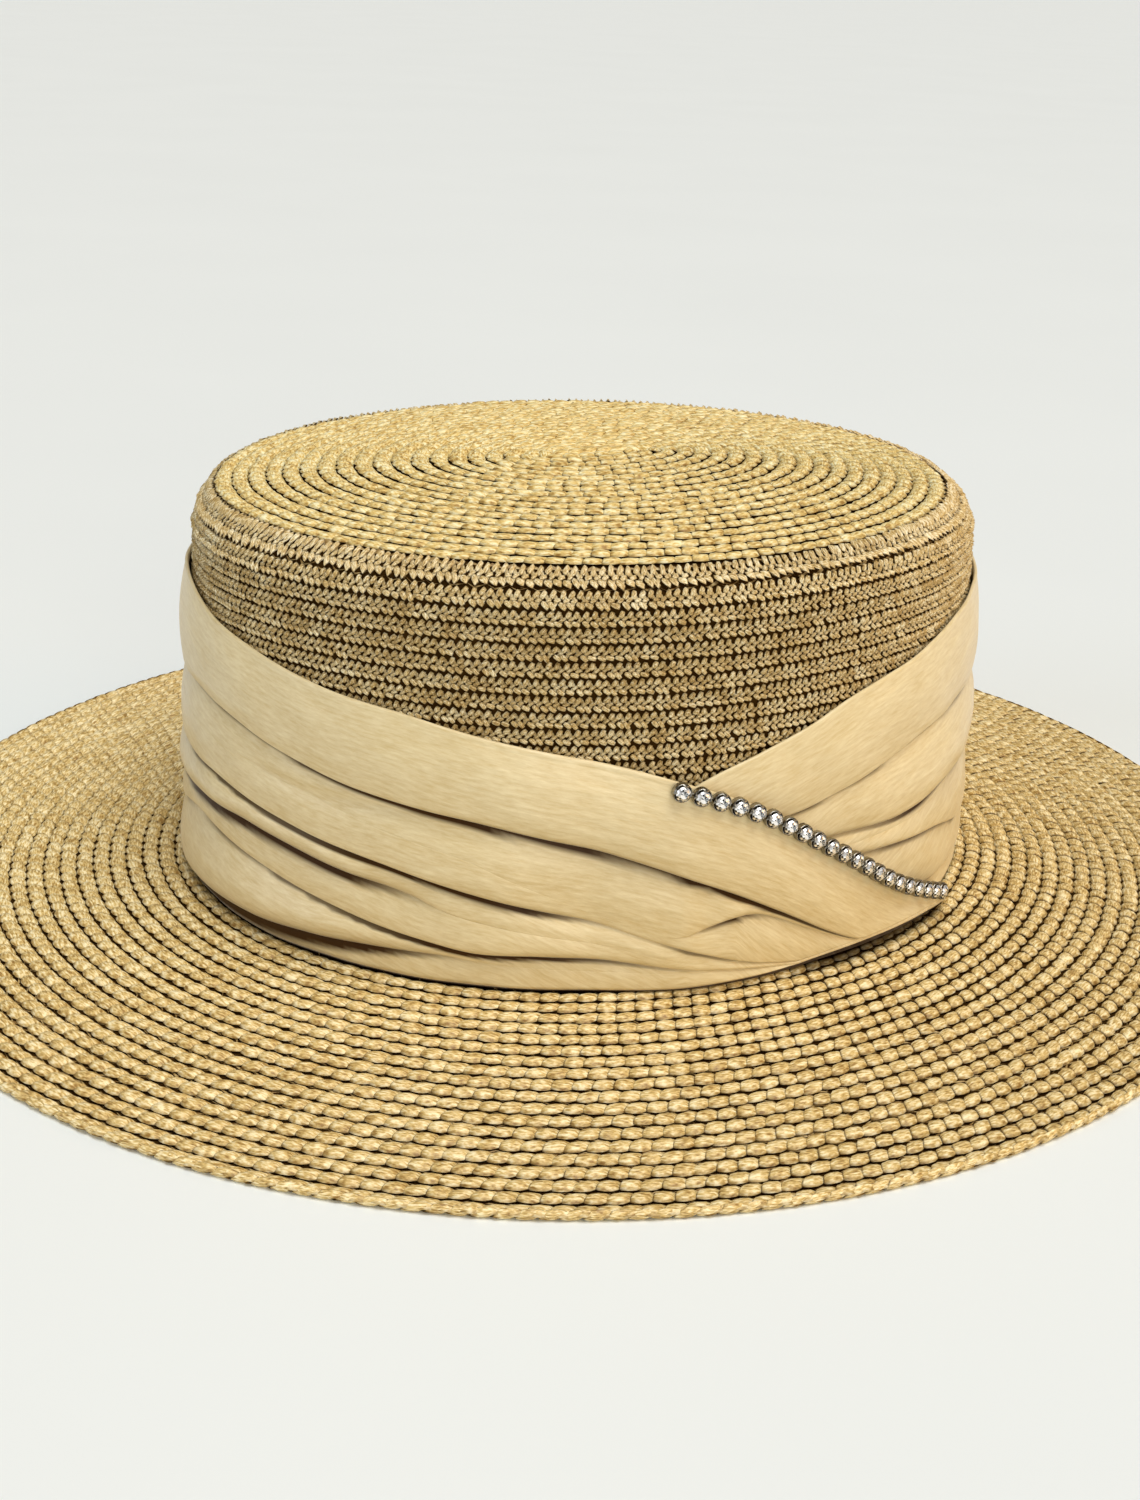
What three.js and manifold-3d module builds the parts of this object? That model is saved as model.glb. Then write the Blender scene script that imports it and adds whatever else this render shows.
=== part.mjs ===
// A straw boater: an oval crown and brim of sewn braid, a pleated satin band whose end laps over its start,
// and a cup chain of cut stones along the lap. Millimetres, +Z up. The brim rests on z = 0 and the oval is
// centred on the origin, long axis along X. The trimmed side faces -Y, and -X is taken as the front.
import * as THREE from 'three';
import { mergeVertices } from 'three/addons/utils/BufferGeometryUtils.js';
import Module from 'manifold-3d';

// Driving dimensions
const LONG = 98;            // crown's outer semi-axis along X, at its foot
const SHORT = 88;           // crown's outer semi-axis along Y, at its foot
const STRAW = 2;            // thickness of the sewn braid
const ROW = 3.72;           // one row of braid on the crown's side
const TUCK = 0.5;           // how far a row's hidden edge sits behind the row that laps over it
const GAP = 0.3;            // clearance between neighbouring pieces

const FOOT = 6;             // height of the brim's top where the crown stands on it
const EDGE = 95.6;          // height of the tip at its edge, before the edge is rounded
const EDGE_IN = 7.5;        // how far in over the tip the edge is rounded
const EDGE_DOWN = 9.5;      // and how far down the side
const SIDE_TOP = EDGE - EDGE_DOWN;
const DOME = 6;             // rise of the tip from its edge to its middle
const LEAN = 3.3;           // how far the side leans in from its foot to its top
const LOWEST_RIB = 52;      // rows show from here up: the band hides the side below
const TIP_REACH = SHORT - LEAN;   // from the top of the side in to the middle of the tip
const TIP_CORE = 1;         // half width of the straight start of the braid, in the middle of the tip

const BRIM = 74;            // brim width
const FLAT = 12;            // width of the outer ring that lies flat
const BRIM_ROW = 3.9;       // one row of braid on the brim

const SATIN = 1;            // one folded layer of satin
const PLEAT = 1.3;          // how far a wide pleat's lower edge stands out
const PLEAT_SLOPE = 0.075;  // and how far a narrow one's does, for each millimetre of its width
const PLEAT_TURN = 0.04;    // share of a pleat's width that its rounded fold takes
const PLEAT_FULL = 0.7;     // share of its depth that a pleat has reached halfway down
const LAP_LIFT = SATIN + PLEAT + GAP;
const LAP_START = 336;      // the strip starts to climb over its own start here
const LAP_END = 350;
const STRIP_STEP = 6;       // degrees between the strip's sections

const STONE_PITCH = 4.5;
const STONE_RADIUS = 1.6;
const TABLE_RADIUS = 0.9;
const PAVILION = 0.9;       // a stone's depth below its girdle
const GIRDLE = 0.2;
const STONE_CROWN = 0.6;    // a stone's height above its girdle
const CUP_WALL = 0.3;
const CUP_FLOOR = 0.8;
const CUP_DEPTH = 2;
const CUP_CLEAR = 0.2;      // between a stone and its cup
const LINK_RADIUS = 0.38;
const CHAIN_FROM = 347.5;
const CHAIN_TO = 395;
const CHAIN_DROP = 1.6;     // the chain's middle below the lap's edge
const SEARCH_STEP = 0.05;   // degrees between the places tried for the next cup

const SIDES = 40;           // steps round the oval
const CUP_SIDES = 8;
const STONE_SIDES = 8;
const LINK_SIDES = 5;
const TIP_RINGS = 5;
const EDGE_TURNS = [65, 42, 20];   // degrees round the rounded edge, up from the side

// The strip from its hidden start, round the back and over the front again to its end. Columns: degrees from
// the middle of the trimmed side towards +X, then the heights of the top edge, the four folds and the bottom.
const STRIP = [
  { at: -8, top: 54, fold1: 40, fold2: 34, fold3: 28, fold4: 14, bottom: 7 },
  { at: 6, top: 62, fold1: 42.5, fold2: 34.5, fold3: 28, fold4: 14, bottom: 7 },
  { at: 16, top: 67.5, fold1: 46.7, fold2: 34.2, fold3: 27.8, fold4: 13, bottom: 7 },
  { at: 30, top: 72, fold1: 52, fold2: 34, fold3: 25.5, fold4: 12, bottom: 7 },
  { at: 46, top: 76.3, fold1: 54.3, fold2: 37.8, fold3: 20, fold4: 11, bottom: 7 },
  { at: 90, top: 78, fold1: 55.5, fold2: 38.5, fold3: 23, fold4: 10, bottom: 7 },
  { at: 180, top: 78, fold1: 55.5, fold2: 38.5, fold3: 25, fold4: 9.5, bottom: 7 },
  { at: 264, top: 78, fold1: 55.5, fold2: 38.2, fold3: 26, fold4: 9, bottom: 7 },
  { at: 285, top: 71.5, fold1: 53, fold2: 36.7, fold3: 23.6, fold4: 10.4, bottom: 7 },
  { at: 301, top: 67.7, fold1: 48.5, fold2: 34, fold3: 19.8, fold4: 12.8, bottom: 7 },
  { at: 316, top: 65, fold1: 45.5, fold2: 30, fold3: 16, fold4: 13.5, bottom: 7 },
  { at: 332, top: 60, fold1: 41, fold2: 25, fold3: 14.2, fold4: 12, bottom: 7 },
  { at: 346, top: 55.2, fold1: 34.8, fold2: 17.3, fold3: 12, fold4: 10, bottom: 7 },
  { at: 358, top: 47.4, fold1: 25, fold2: 11, fold3: 9.5, fold4: 8.4, bottom: 6.8 },
  { at: 370, top: 34.6, fold1: 13.5, fold2: 9.4, fold3: 8.6, fold4: 7.8, bottom: 6.7 },
  { at: 382, top: 21, fold1: 9.6, fold2: 8.9, fold3: 8.2, fold4: 7.5, bottom: 6.6 },
  { at: 398, top: 8.6, fold1: 8.2, fold2: 7.8, fold3: 7.4, fold4: 7, bottom: 6.6 },
];

const wasm = await Module();
wasm.setup();

// A point of the hat: degrees round the oval, offset outwards from the crown's foot, and height
function place(degrees, offset, z) {
  const angle = THREE.MathUtils.degToRad(degrees);
  return new THREE.Vector3((LONG + offset) * Math.sin(angle), -(SHORT + offset) * Math.cos(angle), z);
}

// The horizontal direction that points straight out of the oval
function outward(degrees) {
  const angle = THREE.MathUtils.degToRad(degrees);
  return new THREE.Vector3(SHORT * Math.sin(angle), -LONG * Math.cos(angle), 0).normalize();
}

// Offset of the crown's outer side at a height
function sideOffset(z) {
  return -LEAN * (z - FOOT) / (SIDE_TOP - FOOT);
}

// A closed oval of points at one offset and height
function oval(offset, z) {
  return Array.from({ length: SIDES }, (_, i) => place(360 * i / SIDES, offset, z));
}

// Joins rings of equally many points into one surface. The ends are filled by endFaces, or the last ring
// joins the first one.
function loft(rings, endFaces) {
  const count = rings[0].length;
  const points = rings.flat();
  const faces = [];
  const bands = endFaces ? rings.length - 1 : rings.length;
  for (let r = 0; r < bands; r += 1) {
    const here = r * count;
    const next = ((r + 1) % rings.length) * count;
    for (let i = 0; i < count; i += 1) {
      const j = (i + 1) % count;
      faces.push(here + i, next + i, next + j, here + i, next + j, here + j);
    }
  }
  if (endFaces) {
    const last = (rings.length - 1) * count;
    for (const [a, b, c] of endFaces) {
      faces.push(a, b, c, last + a, last + c, last + b);
    }
  }
  const geometry = new THREE.BufferGeometry().setFromPoints(points);
  geometry.setIndex(faces);
  return geometry;
}

// Triangles that fill a ring of points, given in the flat plane that it lies in
function fill(flatRing) {
  const faces = THREE.ShapeUtils.triangulateShape(flatRing, []);
  return THREE.ShapeUtils.isClockWise(flatRing) ? faces.map(([a, b, c]) => [a, c, b]) : faces;
}

// Height of the domed tip at a distance in from the top of the side, before its edge is rounded
function tipHeight(inwards) {
  return EDGE + DOME * (1 - (1 - inwards / TIP_REACH) ** 2);
}

// Rings of the tip from its middle out to the rounded edge, on the outside or one braid thickness below it
function tipRings(thickness) {
  const rings = [];
  for (let i = 0; i < TIP_RINGS; i += 1) {
    const step = i / (TIP_RINGS - 1);
    const inwards = THREE.MathUtils.lerp(TIP_REACH - TIP_CORE, EDGE_IN, step);
    rings.push(oval(-LEAN - inwards, tipHeight(inwards) - thickness));
  }
  return rings;
}

// Rings of the rounded edge from the tip down to the side, on the outside or one braid thickness within it
function edgeRings(thickness) {
  return EDGE_TURNS.map((degrees) => {
    const angle = THREE.MathUtils.degToRad(degrees);
    const inwards = EDGE_IN * (1 - Math.cos(angle));
    const z = tipHeight(inwards) - EDGE_DOWN * (1 - Math.sin(angle));
    const normal = new THREE.Vector2(Math.cos(angle) / EDGE_IN, Math.sin(angle) / EDGE_DOWN).normalize();
    return oval(-LEAN - inwards - thickness * normal.x, z - thickness * normal.y);
  });
}

// The crown's wall, from the middle of the tip down the outside, under the foot and up the inside
function crownGeometry() {
  const rings = [...tipRings(0), ...edgeRings(0)];
  for (let top = SIDE_TOP; top - ROW > LOWEST_RIB; top -= ROW) {
    rings.push(oval(sideOffset(top) - TUCK, top));
    rings.push(oval(sideOffset(top - ROW), top - ROW));
  }
  rings.push(oval(sideOffset(LOWEST_RIB) - TUCK, LOWEST_RIB));
  const bottom = FOOT + GAP;
  rings.push(oval(sideOffset(bottom) - TUCK, bottom));
  rings.push(oval(-STRAW - TUCK, bottom));
  rings.push(oval(-LEAN - STRAW - TUCK, SIDE_TOP));
  rings.push(...[...tipRings(STRAW), ...edgeRings(STRAW)].reverse());
  const middle = oval(TIP_CORE - SHORT, 0).map((p) => new THREE.Vector2(p.x, p.y));
  return loft(rings, fill(middle));
}

// Height of the brim's underside at an offset: a slope, then the flat ring that rests on the table
function brimUnder(offset) {
  return Math.max(0, (FOOT - STRAW) * (1 - offset / (BRIM - FLAT)));
}

// The brim's wall: stepped rows on top, each lapping over the next one out, and a plain underside
function brimGeometry() {
  const inner = -STRAW - TUCK;
  const rings = [oval(inner, brimUnder(inner)), oval(inner, brimUnder(0) + STRAW)];
  for (let start = 0; start + BRIM_ROW <= BRIM; start += BRIM_ROW) {
    const end = start + BRIM_ROW;
    rings.push(oval(start, brimUnder(start) + STRAW - TUCK));
    rings.push(oval(end, brimUnder(end) + STRAW));
  }
  rings.push(oval(BRIM, STRAW / 2));
  rings.push(oval(BRIM - STRAW / 2, 0));
  rings.push(oval(BRIM - FLAT, 0));
  return loft(rings);
}

// Heights across the strip, and the strip's lift off the crown, at any place along it
const HEIGHTS = ['top', 'fold1', 'fold2', 'fold3', 'fold4', 'bottom'];
const strip = new THREE.CubicInterpolant(
  STRIP.map((row) => row.at),
  STRIP.flatMap((row) => HEIGHTS.map((name) => row[name])),
  HEIGHTS.length,
);

function stripHeights(at) {
  return Array.from(strip.evaluate(at));
}

function stripLift(at) {
  return GAP + LAP_LIFT * THREE.MathUtils.smoothstep(at, LAP_START, LAP_END);
}

// One section of the strip as (offset, height): a plain back, and pleats that each lap over the next below
function stripSection(at) {
  const heights = stripHeights(at);
  const lift = stripLift(at);
  const bottom = heights[heights.length - 1];
  const section = [[lift, heights[0]], [lift, bottom]];
  for (let i = heights.length - 2; i >= 0; i -= 1) {
    const high = heights[i];
    const low = heights[i + 1];
    const depth = Math.min(PLEAT, (high - low) * PLEAT_SLOPE);
    const turn = (high - low) * PLEAT_TURN;
    section.push([lift + SATIN + depth, low + turn]);
    section.push([lift + SATIN + depth * PLEAT_FULL, (high + low) / 2]);
    section.push([lift + SATIN, high - turn]);
  }
  return section.map(([offset, z]) => new THREE.Vector2(offset + sideOffset(z), z));
}

function bandGeometry() {
  const first = STRIP[0].at;
  const last = STRIP[STRIP.length - 1].at;
  const steps = Math.round((last - first) / STRIP_STEP);
  const rings = [];
  for (let s = 0; s <= steps; s += 1) {
    const at = THREE.MathUtils.lerp(first, last, s / steps);
    rings.push(stripSection(at).map((p) => place(at, p.x, p.y)));
  }
  return loft(rings, fill(stripSection(first)));
}

// Where the chain's cups sit: evenly spaced along the lap's edge, each with its outward direction
function cupSeats() {
  const rest = GAP + LAP_LIFT + SATIN + 2 * GAP;
  const seatAt = (at) => {
    const z = stripHeights(at)[0] - CHAIN_DROP;
    return place(at, rest + sideOffset(z), z);
  };
  const seats = [{ point: seatAt(CHAIN_FROM), out: outward(CHAIN_FROM) }];
  for (let at = CHAIN_FROM; at <= CHAIN_TO; at += SEARCH_STEP) {
    const point = seatAt(at);
    if (point.distanceTo(seats[seats.length - 1].point) >= STONE_PITCH) {
      seats.push({ point, out: outward(at) });
    }
  }
  return seats;
}

// Turns a shape whose axis is Y so that the axis points along a direction, and moves it to a point
function stand(geometry, point, direction) {
  const turn = new THREE.Quaternion().setFromUnitVectors(new THREE.Vector3(0, 1, 0), direction);
  return geometry.applyQuaternion(turn).translate(point.x, point.y, point.z);
}

function solid(geometry) {
  geometry.deleteAttribute('normal');
  geometry.deleteAttribute('uv');
  const merged = mergeVertices(geometry, 1e-4);
  return new wasm.Manifold(new wasm.Mesh({
    numProp: 3,
    vertProperties: new Float32Array(merged.attributes.position.array),
    triVerts: new Uint32Array(merged.index.array),
  }));
}

function surface(manifold) {
  const mesh = manifold.getMesh();
  const geometry = new THREE.BufferGeometry();
  geometry.setAttribute('position', new THREE.BufferAttribute(mesh.vertProperties, 3));
  geometry.setIndex(new THREE.BufferAttribute(mesh.triVerts, 1));
  return geometry;
}

// A round cup with a floor, standing on Y = 0
function cupShape() {
  const inside = STONE_RADIUS + CUP_CLEAR;
  const outside = inside + CUP_WALL;
  return new THREE.LatheGeometry([
    new THREE.Vector2(0, 0),
    new THREE.Vector2(outside, 0),
    new THREE.Vector2(outside, CUP_DEPTH),
    new THREE.Vector2(inside, CUP_DEPTH),
    new THREE.Vector2(inside, CUP_FLOOR),
    new THREE.Vector2(0, CUP_FLOOR),
  ], CUP_SIDES);
}

// A cut stone: pavilion, girdle, crown facets and a flat table
function stoneShape() {
  const point = CUP_FLOOR + CUP_CLEAR;
  const girdle = point + PAVILION;
  const table = girdle + GIRDLE + STONE_CROWN;
  return new THREE.LatheGeometry([
    new THREE.Vector2(0, point),
    new THREE.Vector2(STONE_RADIUS, girdle),
    new THREE.Vector2(STONE_RADIUS, girdle + GIRDLE),
    new THREE.Vector2(TABLE_RADIUS, table),
    new THREE.Vector2(0, table),
  ], STONE_SIDES);
}

// All the cups and the links between them, joined as one piece of metal
function chainGeometry(seats) {
  let metal = null;
  seats.forEach((seat, i) => {
    const cup = solid(stand(cupShape(), seat.point, seat.out));
    metal = metal ? metal.add(cup) : cup;
    if (i > 0) {
      const before = seats[i - 1];
      const raise = CUP_FLOOR / 2;
      const from = before.point.clone().addScaledVector(before.out, raise);
      const to = seat.point.clone().addScaledVector(seat.out, raise);
      const along = to.clone().sub(from);
      const link = new THREE.CylinderGeometry(LINK_RADIUS, LINK_RADIUS, along.length(), LINK_SIDES);
      metal = metal.add(solid(stand(link, from.add(to).multiplyScalar(0.5), along.normalize())));
    }
  });
  return surface(metal);
}

function piece(name, geometry, color, roughness, metalness) {
  const material = new THREE.MeshStandardMaterial({ color, roughness, metalness, flatShading: true });
  const mesh = new THREE.Mesh(geometry, material);
  mesh.name = name;
  return mesh;
}

const hat = new THREE.Group();
hat.add(piece('straw_crown', crownGeometry(), 0xc39b5e, 0.75, 0));
hat.add(piece('straw_brim', brimGeometry(), 0xc39b5e, 0.75, 0));
hat.add(piece('satin_band', bandGeometry(), 0xcdb288, 0.4, 0));

const seats = cupSeats();
hat.add(piece('cup_chain', chainGeometry(seats), 0x9a9a98, 0.25, 1));
seats.forEach((seat, i) => {
  const number = String(i + 1).padStart(2, '0');
  const stone = surface(solid(stand(stoneShape(), seat.point, seat.out)));
  hat.add(piece(`rhinestone_${number}`, stone, 0xf2f4f6, 0.05, 0));
});

export default hat;
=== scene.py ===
# %% [markdown]
# # A straw boater with a crossed satin band
#
# The real hat is made of three things. One long plait of paper straw is sewn round and round on
# itself into a crown and a brim. One strip of pleated satin is wrapped round the crown, and its end is
# laid over its start. A short cup chain of rhinestones runs along that crossing edge.
# The CAD model already has the size and place of each, so it is loaded here as a fixed frame, and
# this script dresses it. Lengths are millimetres until they reach a mesh, which is in metres.

import math

import bpy
import numpy as np
from mathutils import Matrix, Vector


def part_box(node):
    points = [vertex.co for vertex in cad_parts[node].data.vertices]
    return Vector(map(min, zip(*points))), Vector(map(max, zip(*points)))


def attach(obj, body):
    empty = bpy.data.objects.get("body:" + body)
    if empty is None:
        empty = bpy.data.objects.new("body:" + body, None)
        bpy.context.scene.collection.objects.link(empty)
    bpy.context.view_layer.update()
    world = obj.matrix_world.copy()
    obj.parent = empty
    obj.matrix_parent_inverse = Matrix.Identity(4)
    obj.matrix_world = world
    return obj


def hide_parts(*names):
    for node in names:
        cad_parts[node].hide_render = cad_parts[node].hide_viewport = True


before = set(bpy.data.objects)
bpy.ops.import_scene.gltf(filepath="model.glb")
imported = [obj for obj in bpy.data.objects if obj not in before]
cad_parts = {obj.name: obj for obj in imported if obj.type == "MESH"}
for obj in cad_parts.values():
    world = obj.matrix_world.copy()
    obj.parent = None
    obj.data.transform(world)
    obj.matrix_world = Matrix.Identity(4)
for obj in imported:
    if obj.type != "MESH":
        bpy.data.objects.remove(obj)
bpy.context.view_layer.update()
MM = 0.001
scene = bpy.context.scene

# %% [markdown]
# ## Small helpers
#
# Blender works with linear light, while colours are easiest to read as the sRGB hex codes of a colour
# picker, so one function turns one into the other. Node trees are built by one function that adds a node,
# sets its properties and fills its inputs. A number or colour is set on the input, and a socket is
# connected to it. Where a whole node is given, its first live output is meant. The others make meshes
# from points in millimetres, store numbers on them, and put them into the scene.

# %% Colours and nodes
def srgb(code):
    """Linear colour for Blender from an sRGB hex value such as C9A468."""
    channels = [int(code[i:i + 2], 16) / 255 for i in (0, 2, 4)]
    linear = [c / 12.92 if c <= 0.04045 else ((c + 0.055) / 1.055) ** 2.4 for c in channels]
    return (*linear, 1.0)


def fill(tree, node, inputs):
    """Fills inputs, given by name or number, with values, sockets or other nodes' first live outputs."""
    for name, value in inputs.items():
        live = [socket for socket in node.inputs if socket.enabled and socket.name == name]
        socket = live[0] if live else node.inputs[name]
        if isinstance(value, bpy.types.Node):
            value = next(output for output in value.outputs if output.enabled)
        if isinstance(value, bpy.types.NodeSocket):
            tree.links.new(value, socket)
        else:
            socket.default_value = value


def add(tree, kind, inputs=None, stops=(), **settings):
    """Adds one node with its properties and inputs, and for a colour ramp its places and colours."""
    node = tree.nodes.new(kind)
    for name, value in settings.items():
        setattr(node, name, value)
    fill(tree, node, inputs or {})
    for number, (position, code) in enumerate(stops):
        ramp = node.color_ramp.elements
        stop = ramp[number] if number < len(ramp) else ramp.new(position)
        stop.position, stop.color = position, srgb(code)
    return node


print("wheat in linear light:", [round(c, 3) for c in srgb("D9BC78")])


# %% Meshes and pieces
def new_mesh(name, points, edges=(), faces=(), smooth=True):
    mesh = bpy.data.meshes.new(name)
    mesh.from_pydata((np.asarray(points) * MM).tolist(), list(edges), list(faces))
    mesh.polygons.foreach_set("use_smooth", [smooth] * len(mesh.polygons))
    return mesh


def give(mesh, name, values, domain="POINT"):
    """Stores numbers or directions on a mesh under a name, where nodes can read them."""
    values = np.asarray(values, np.float32)
    kind, field = ("FLOAT_VECTOR", "vector") if values.ndim == 2 else ("FLOAT", "value")
    mesh.attributes.new(name, kind, domain).data.foreach_set(field, values.ravel())


def put(name, mesh):
    """A new object at the origin: a piece with its place in its mesh, or a light or camera to be turned."""
    piece = bpy.data.objects.new(name, mesh)
    scene.collection.objects.link(piece)
    return piece


def evaluated_mesh(piece):
    """The piece with its modifiers applied, as a plain mesh."""
    bpy.context.view_layer.update()
    return bpy.data.meshes.new_from_object(piece.evaluated_get(bpy.context.evaluated_depsgraph_get()))


def triangles(piece):
    return sum(len(p.vertices) - 2 for p in piece.data.polygons)


# %% [markdown]
# ## The hat's form
#
# A boater's crown is an oval, a little longer than it is wide, and every row of braid is an oval parallel
# to the crown's foot. So a point on the hat is given by an angle round the oval, an offset outside the foot
# and a height. Angles run from the trimmed side, -Y, towards +X, which is to the right in the picture.
# The oval's size is read from the CAD brim. The crown's outline is one line from the middle of the tip, over
# the rounded edge and down the side, measured by how far one walks along it. The Screw modifier would turn
# such a line into a round crown, but an oval needs the same offset all the way round, so points are worked
# out from the line instead.

# %% The oval
BRIM = 74.0  # width of the brim, from the crown's foot to its edge
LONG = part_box("straw_brim")[1].x / MM - BRIM  # half the crown's length at its foot
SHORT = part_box("straw_brim")[1].y / MM - BRIM  # half its width


def place(degrees, offset, height):
    """Point at an angle round the oval, an offset outside the crown's foot and a height."""
    angle = np.radians(degrees)
    x, y = (LONG + offset) * np.sin(angle), -(SHORT + offset) * np.cos(angle)
    return np.stack(np.broadcast_arrays(x, y, height), -1)


def outward(degrees, offset=0.0):
    """Level direction that points straight out of the oval."""
    angle = np.radians(degrees)
    x, y = (SHORT + offset) * np.sin(angle), -(LONG + offset) * np.cos(angle)
    way = np.stack(np.broadcast_arrays(x, y, 0.0 * x), -1)
    return way / np.linalg.norm(way, axis=-1, keepdims=True)


print(f"oval at the crown's foot: {2 * LONG:.0f} by {2 * SHORT:.0f} mm")

# %% The crown's and the brim's outlines
FOOT = 6.0  # height of the crown's foot
DOME = 6.0  # rise of the tip's middle over its edge
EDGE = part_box("straw_crown")[1].z / MM - DOME  # height of the tip's edge
LEAN = 3.3  # how far the side leans in at the top
EDGE_IN, EDGE_DOWN = 7.5, 9.5  # reach of the rounded edge over the tip and down the side
FLAT = 12.0  # ring of the brim that lies flat on the table
STRAW = 2.0  # thickness of the sewn braid
BRIM_TURN = 2.5  # the brim's braid reaches this far in under the crown's foot
TIP_REACH = SHORT - LEAN
TIP_POINTS, TURN_POINTS, BRIM_POINTS, LINE_STEPS = 160, 60, 100, 400  # fine enough to look smooth


def outline(offsets, heights):
    """A line on the hat from the inside out: walked length, offset, height and the directions along it."""
    offsets, heights = np.asarray(offsets, float), np.asarray(heights, float)
    walk = np.concatenate([[0], np.cumsum(np.hypot(np.diff(offsets), np.diff(heights)))])
    even = np.linspace(0, walk[-1], LINE_STEPS)
    offsets, heights = np.interp(even, walk, offsets), np.interp(even, walk, heights)
    return {
        "walk": even,
        "offset": offsets,
        "height": heights,
        "along_out": np.gradient(offsets, even),
        "along_up": np.gradient(heights, even),
    }


def on(line, walk):
    """Offset, height and direction of the line after a walk along it."""
    return [np.interp(walk, line["walk"], line[key]) for key in ("offset", "height", "along_out", "along_up")]


def tip_height(inwards):
    return EDGE + DOME * (1 - (1 - inwards / TIP_REACH) ** 2)


def brim_under(offset):
    return np.maximum(0, (FOOT - STRAW) * (1 - offset / (BRIM - FLAT)))


tip_in = np.linspace(TIP_REACH, EDGE_IN, TIP_POINTS)
edge_turn = np.radians(np.linspace(90, 0, TURN_POINTS))[1:]
edge_in = EDGE_IN * (1 - np.cos(edge_turn))
edge_height = tip_height(edge_in) - EDGE_DOWN * (1 - np.sin(edge_turn))
crown_line = outline(
    np.concatenate([-LEAN - tip_in, -LEAN - edge_in, [0]]),
    np.concatenate([tip_height(tip_in), edge_height, [FOOT]]),
)
brim_out = np.linspace(-BRIM_TURN, BRIM, BRIM_POINTS)
brim_line = outline(brim_out, brim_under(brim_out) + STRAW)
CROWN_LENGTH, BRIM_LENGTH = crown_line["walk"][-1], brim_line["walk"][-1]
print(f"crown line {CROWN_LENGTH:.0f} mm, brim line {BRIM_LENGTH:.0f} mm")

# %% [markdown]
# ## The sewn braid's path
#
# The machinist starts at the middle of the tip and lets the plait run round and round, each turn lapping
# over the one before, then does the same for the brim. A true spiral would climb all the way round. A
# hat maker keeps the rows level and steps to the next one at the back, so the path here does that too.
# Rows sewn by hand and eye aren't quite even. On the tip they lie further out at the oval's two ends and a
# little to the left, and at the trimmed side a deeper gap is left before the row that turns over the edge.
# Each point of the path carries the way the braid faces there and how wide the row is. Geometry Nodes then
# lay the stitches of the plait along it.

# %% Rows of the crown and the brim
EDGE_ROW = 19  # the row that goes over the tip's edge, the widest
JUMP = 0.001  # the gap before it is a jump in this share of a row
CROWN_ROWS = [  # row, and the walk from the middle of the tip to its inner edge
    (0, 0), (EDGE_ROW, 74.4), (EDGE_ROW + JUMP, 75.6), (20, 83.0), (21, 87.6), (28, 112.8),
    (44.5, CROWN_LENGTH),
]
BRIM_ROWS = 19
OFF_CENTRE, OFF_CENTRE_AT = 1.2, -105.0  # how far the tip's rows sit off centre, and towards which angle
ENDS_OUT, ENDS_FROM = 3.2, -20.0  # how much further out they lie at the ends, and the angle between these
GAP_CLOSES = 0.9  # what the gap before the edge row loses away from the trimmed side
UNEVEN_FROM, UNEVEN_TO = (0, 60), (100, 160)  # walks over which this unevenness comes and goes


def smooth_step(low, high, x):
    t = np.clip((x - low) / (high - low), 0, 1)
    return t * t * (3 - 2 * t)


def between(rise, fall, x):
    """Comes up from 0 to 1 over one stretch and goes back to 0 over another."""
    return smooth_step(*rise, x) * (1 - smooth_step(*fall, x))


def crown_walk(row, degrees):
    """Walk from the middle of the tip to a row's inner edge, as uneven as the real rows."""
    walk = np.interp(row, *zip(*CROWN_ROWS))
    off = OFF_CENTRE * np.cos(np.radians(degrees - OFF_CENTRE_AT))
    turn = np.radians(degrees - ENDS_FROM)
    ends = ENDS_OUT * np.sin(turn) ** 4
    close = GAP_CLOSES * (row < EDGE_ROW + JUMP / 2) * (1 - np.maximum(np.cos(turn), 0) ** 4)
    return walk + between(UNEVEN_FROM, UNEVEN_TO, walk) * (off + ends + close)


def brim_walk(row, degrees):
    return BRIM_TURN + row * (BRIM_LENGTH - BRIM_TURN) / BRIM_ROWS + 0 * degrees


def underside_walk(row, degrees):
    return row * BRIM_LENGTH / BRIM_ROWS + 0 * degrees


print("crown rows", CROWN_ROWS[-1][0], "brim rows", BRIM_ROWS)

# %% The path along the rows
CLIMB = 1 / 6  # share of a turn in which the braid steps to the next row
CLIMB_AT = 180.0  # the back of the hat
PATH_STEP = 1 / 180  # share of a turn between two points of the path
INSIDE_ROW = 0.002  # a row's width is measured this far inside its edges, clear of the jump


def row_after(turns):
    """Row that the braid lies in after so many turns: level, with one step to the next row at the back."""
    nearest = np.round(turns)
    climb = np.clip((turns - nearest) / CLIMB + 0.5, 0, 1)
    return np.maximum(nearest - 1 + climb * climb * (3 - 2 * climb), 0)


def no_shade(row, degrees):
    return 0 * row


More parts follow.
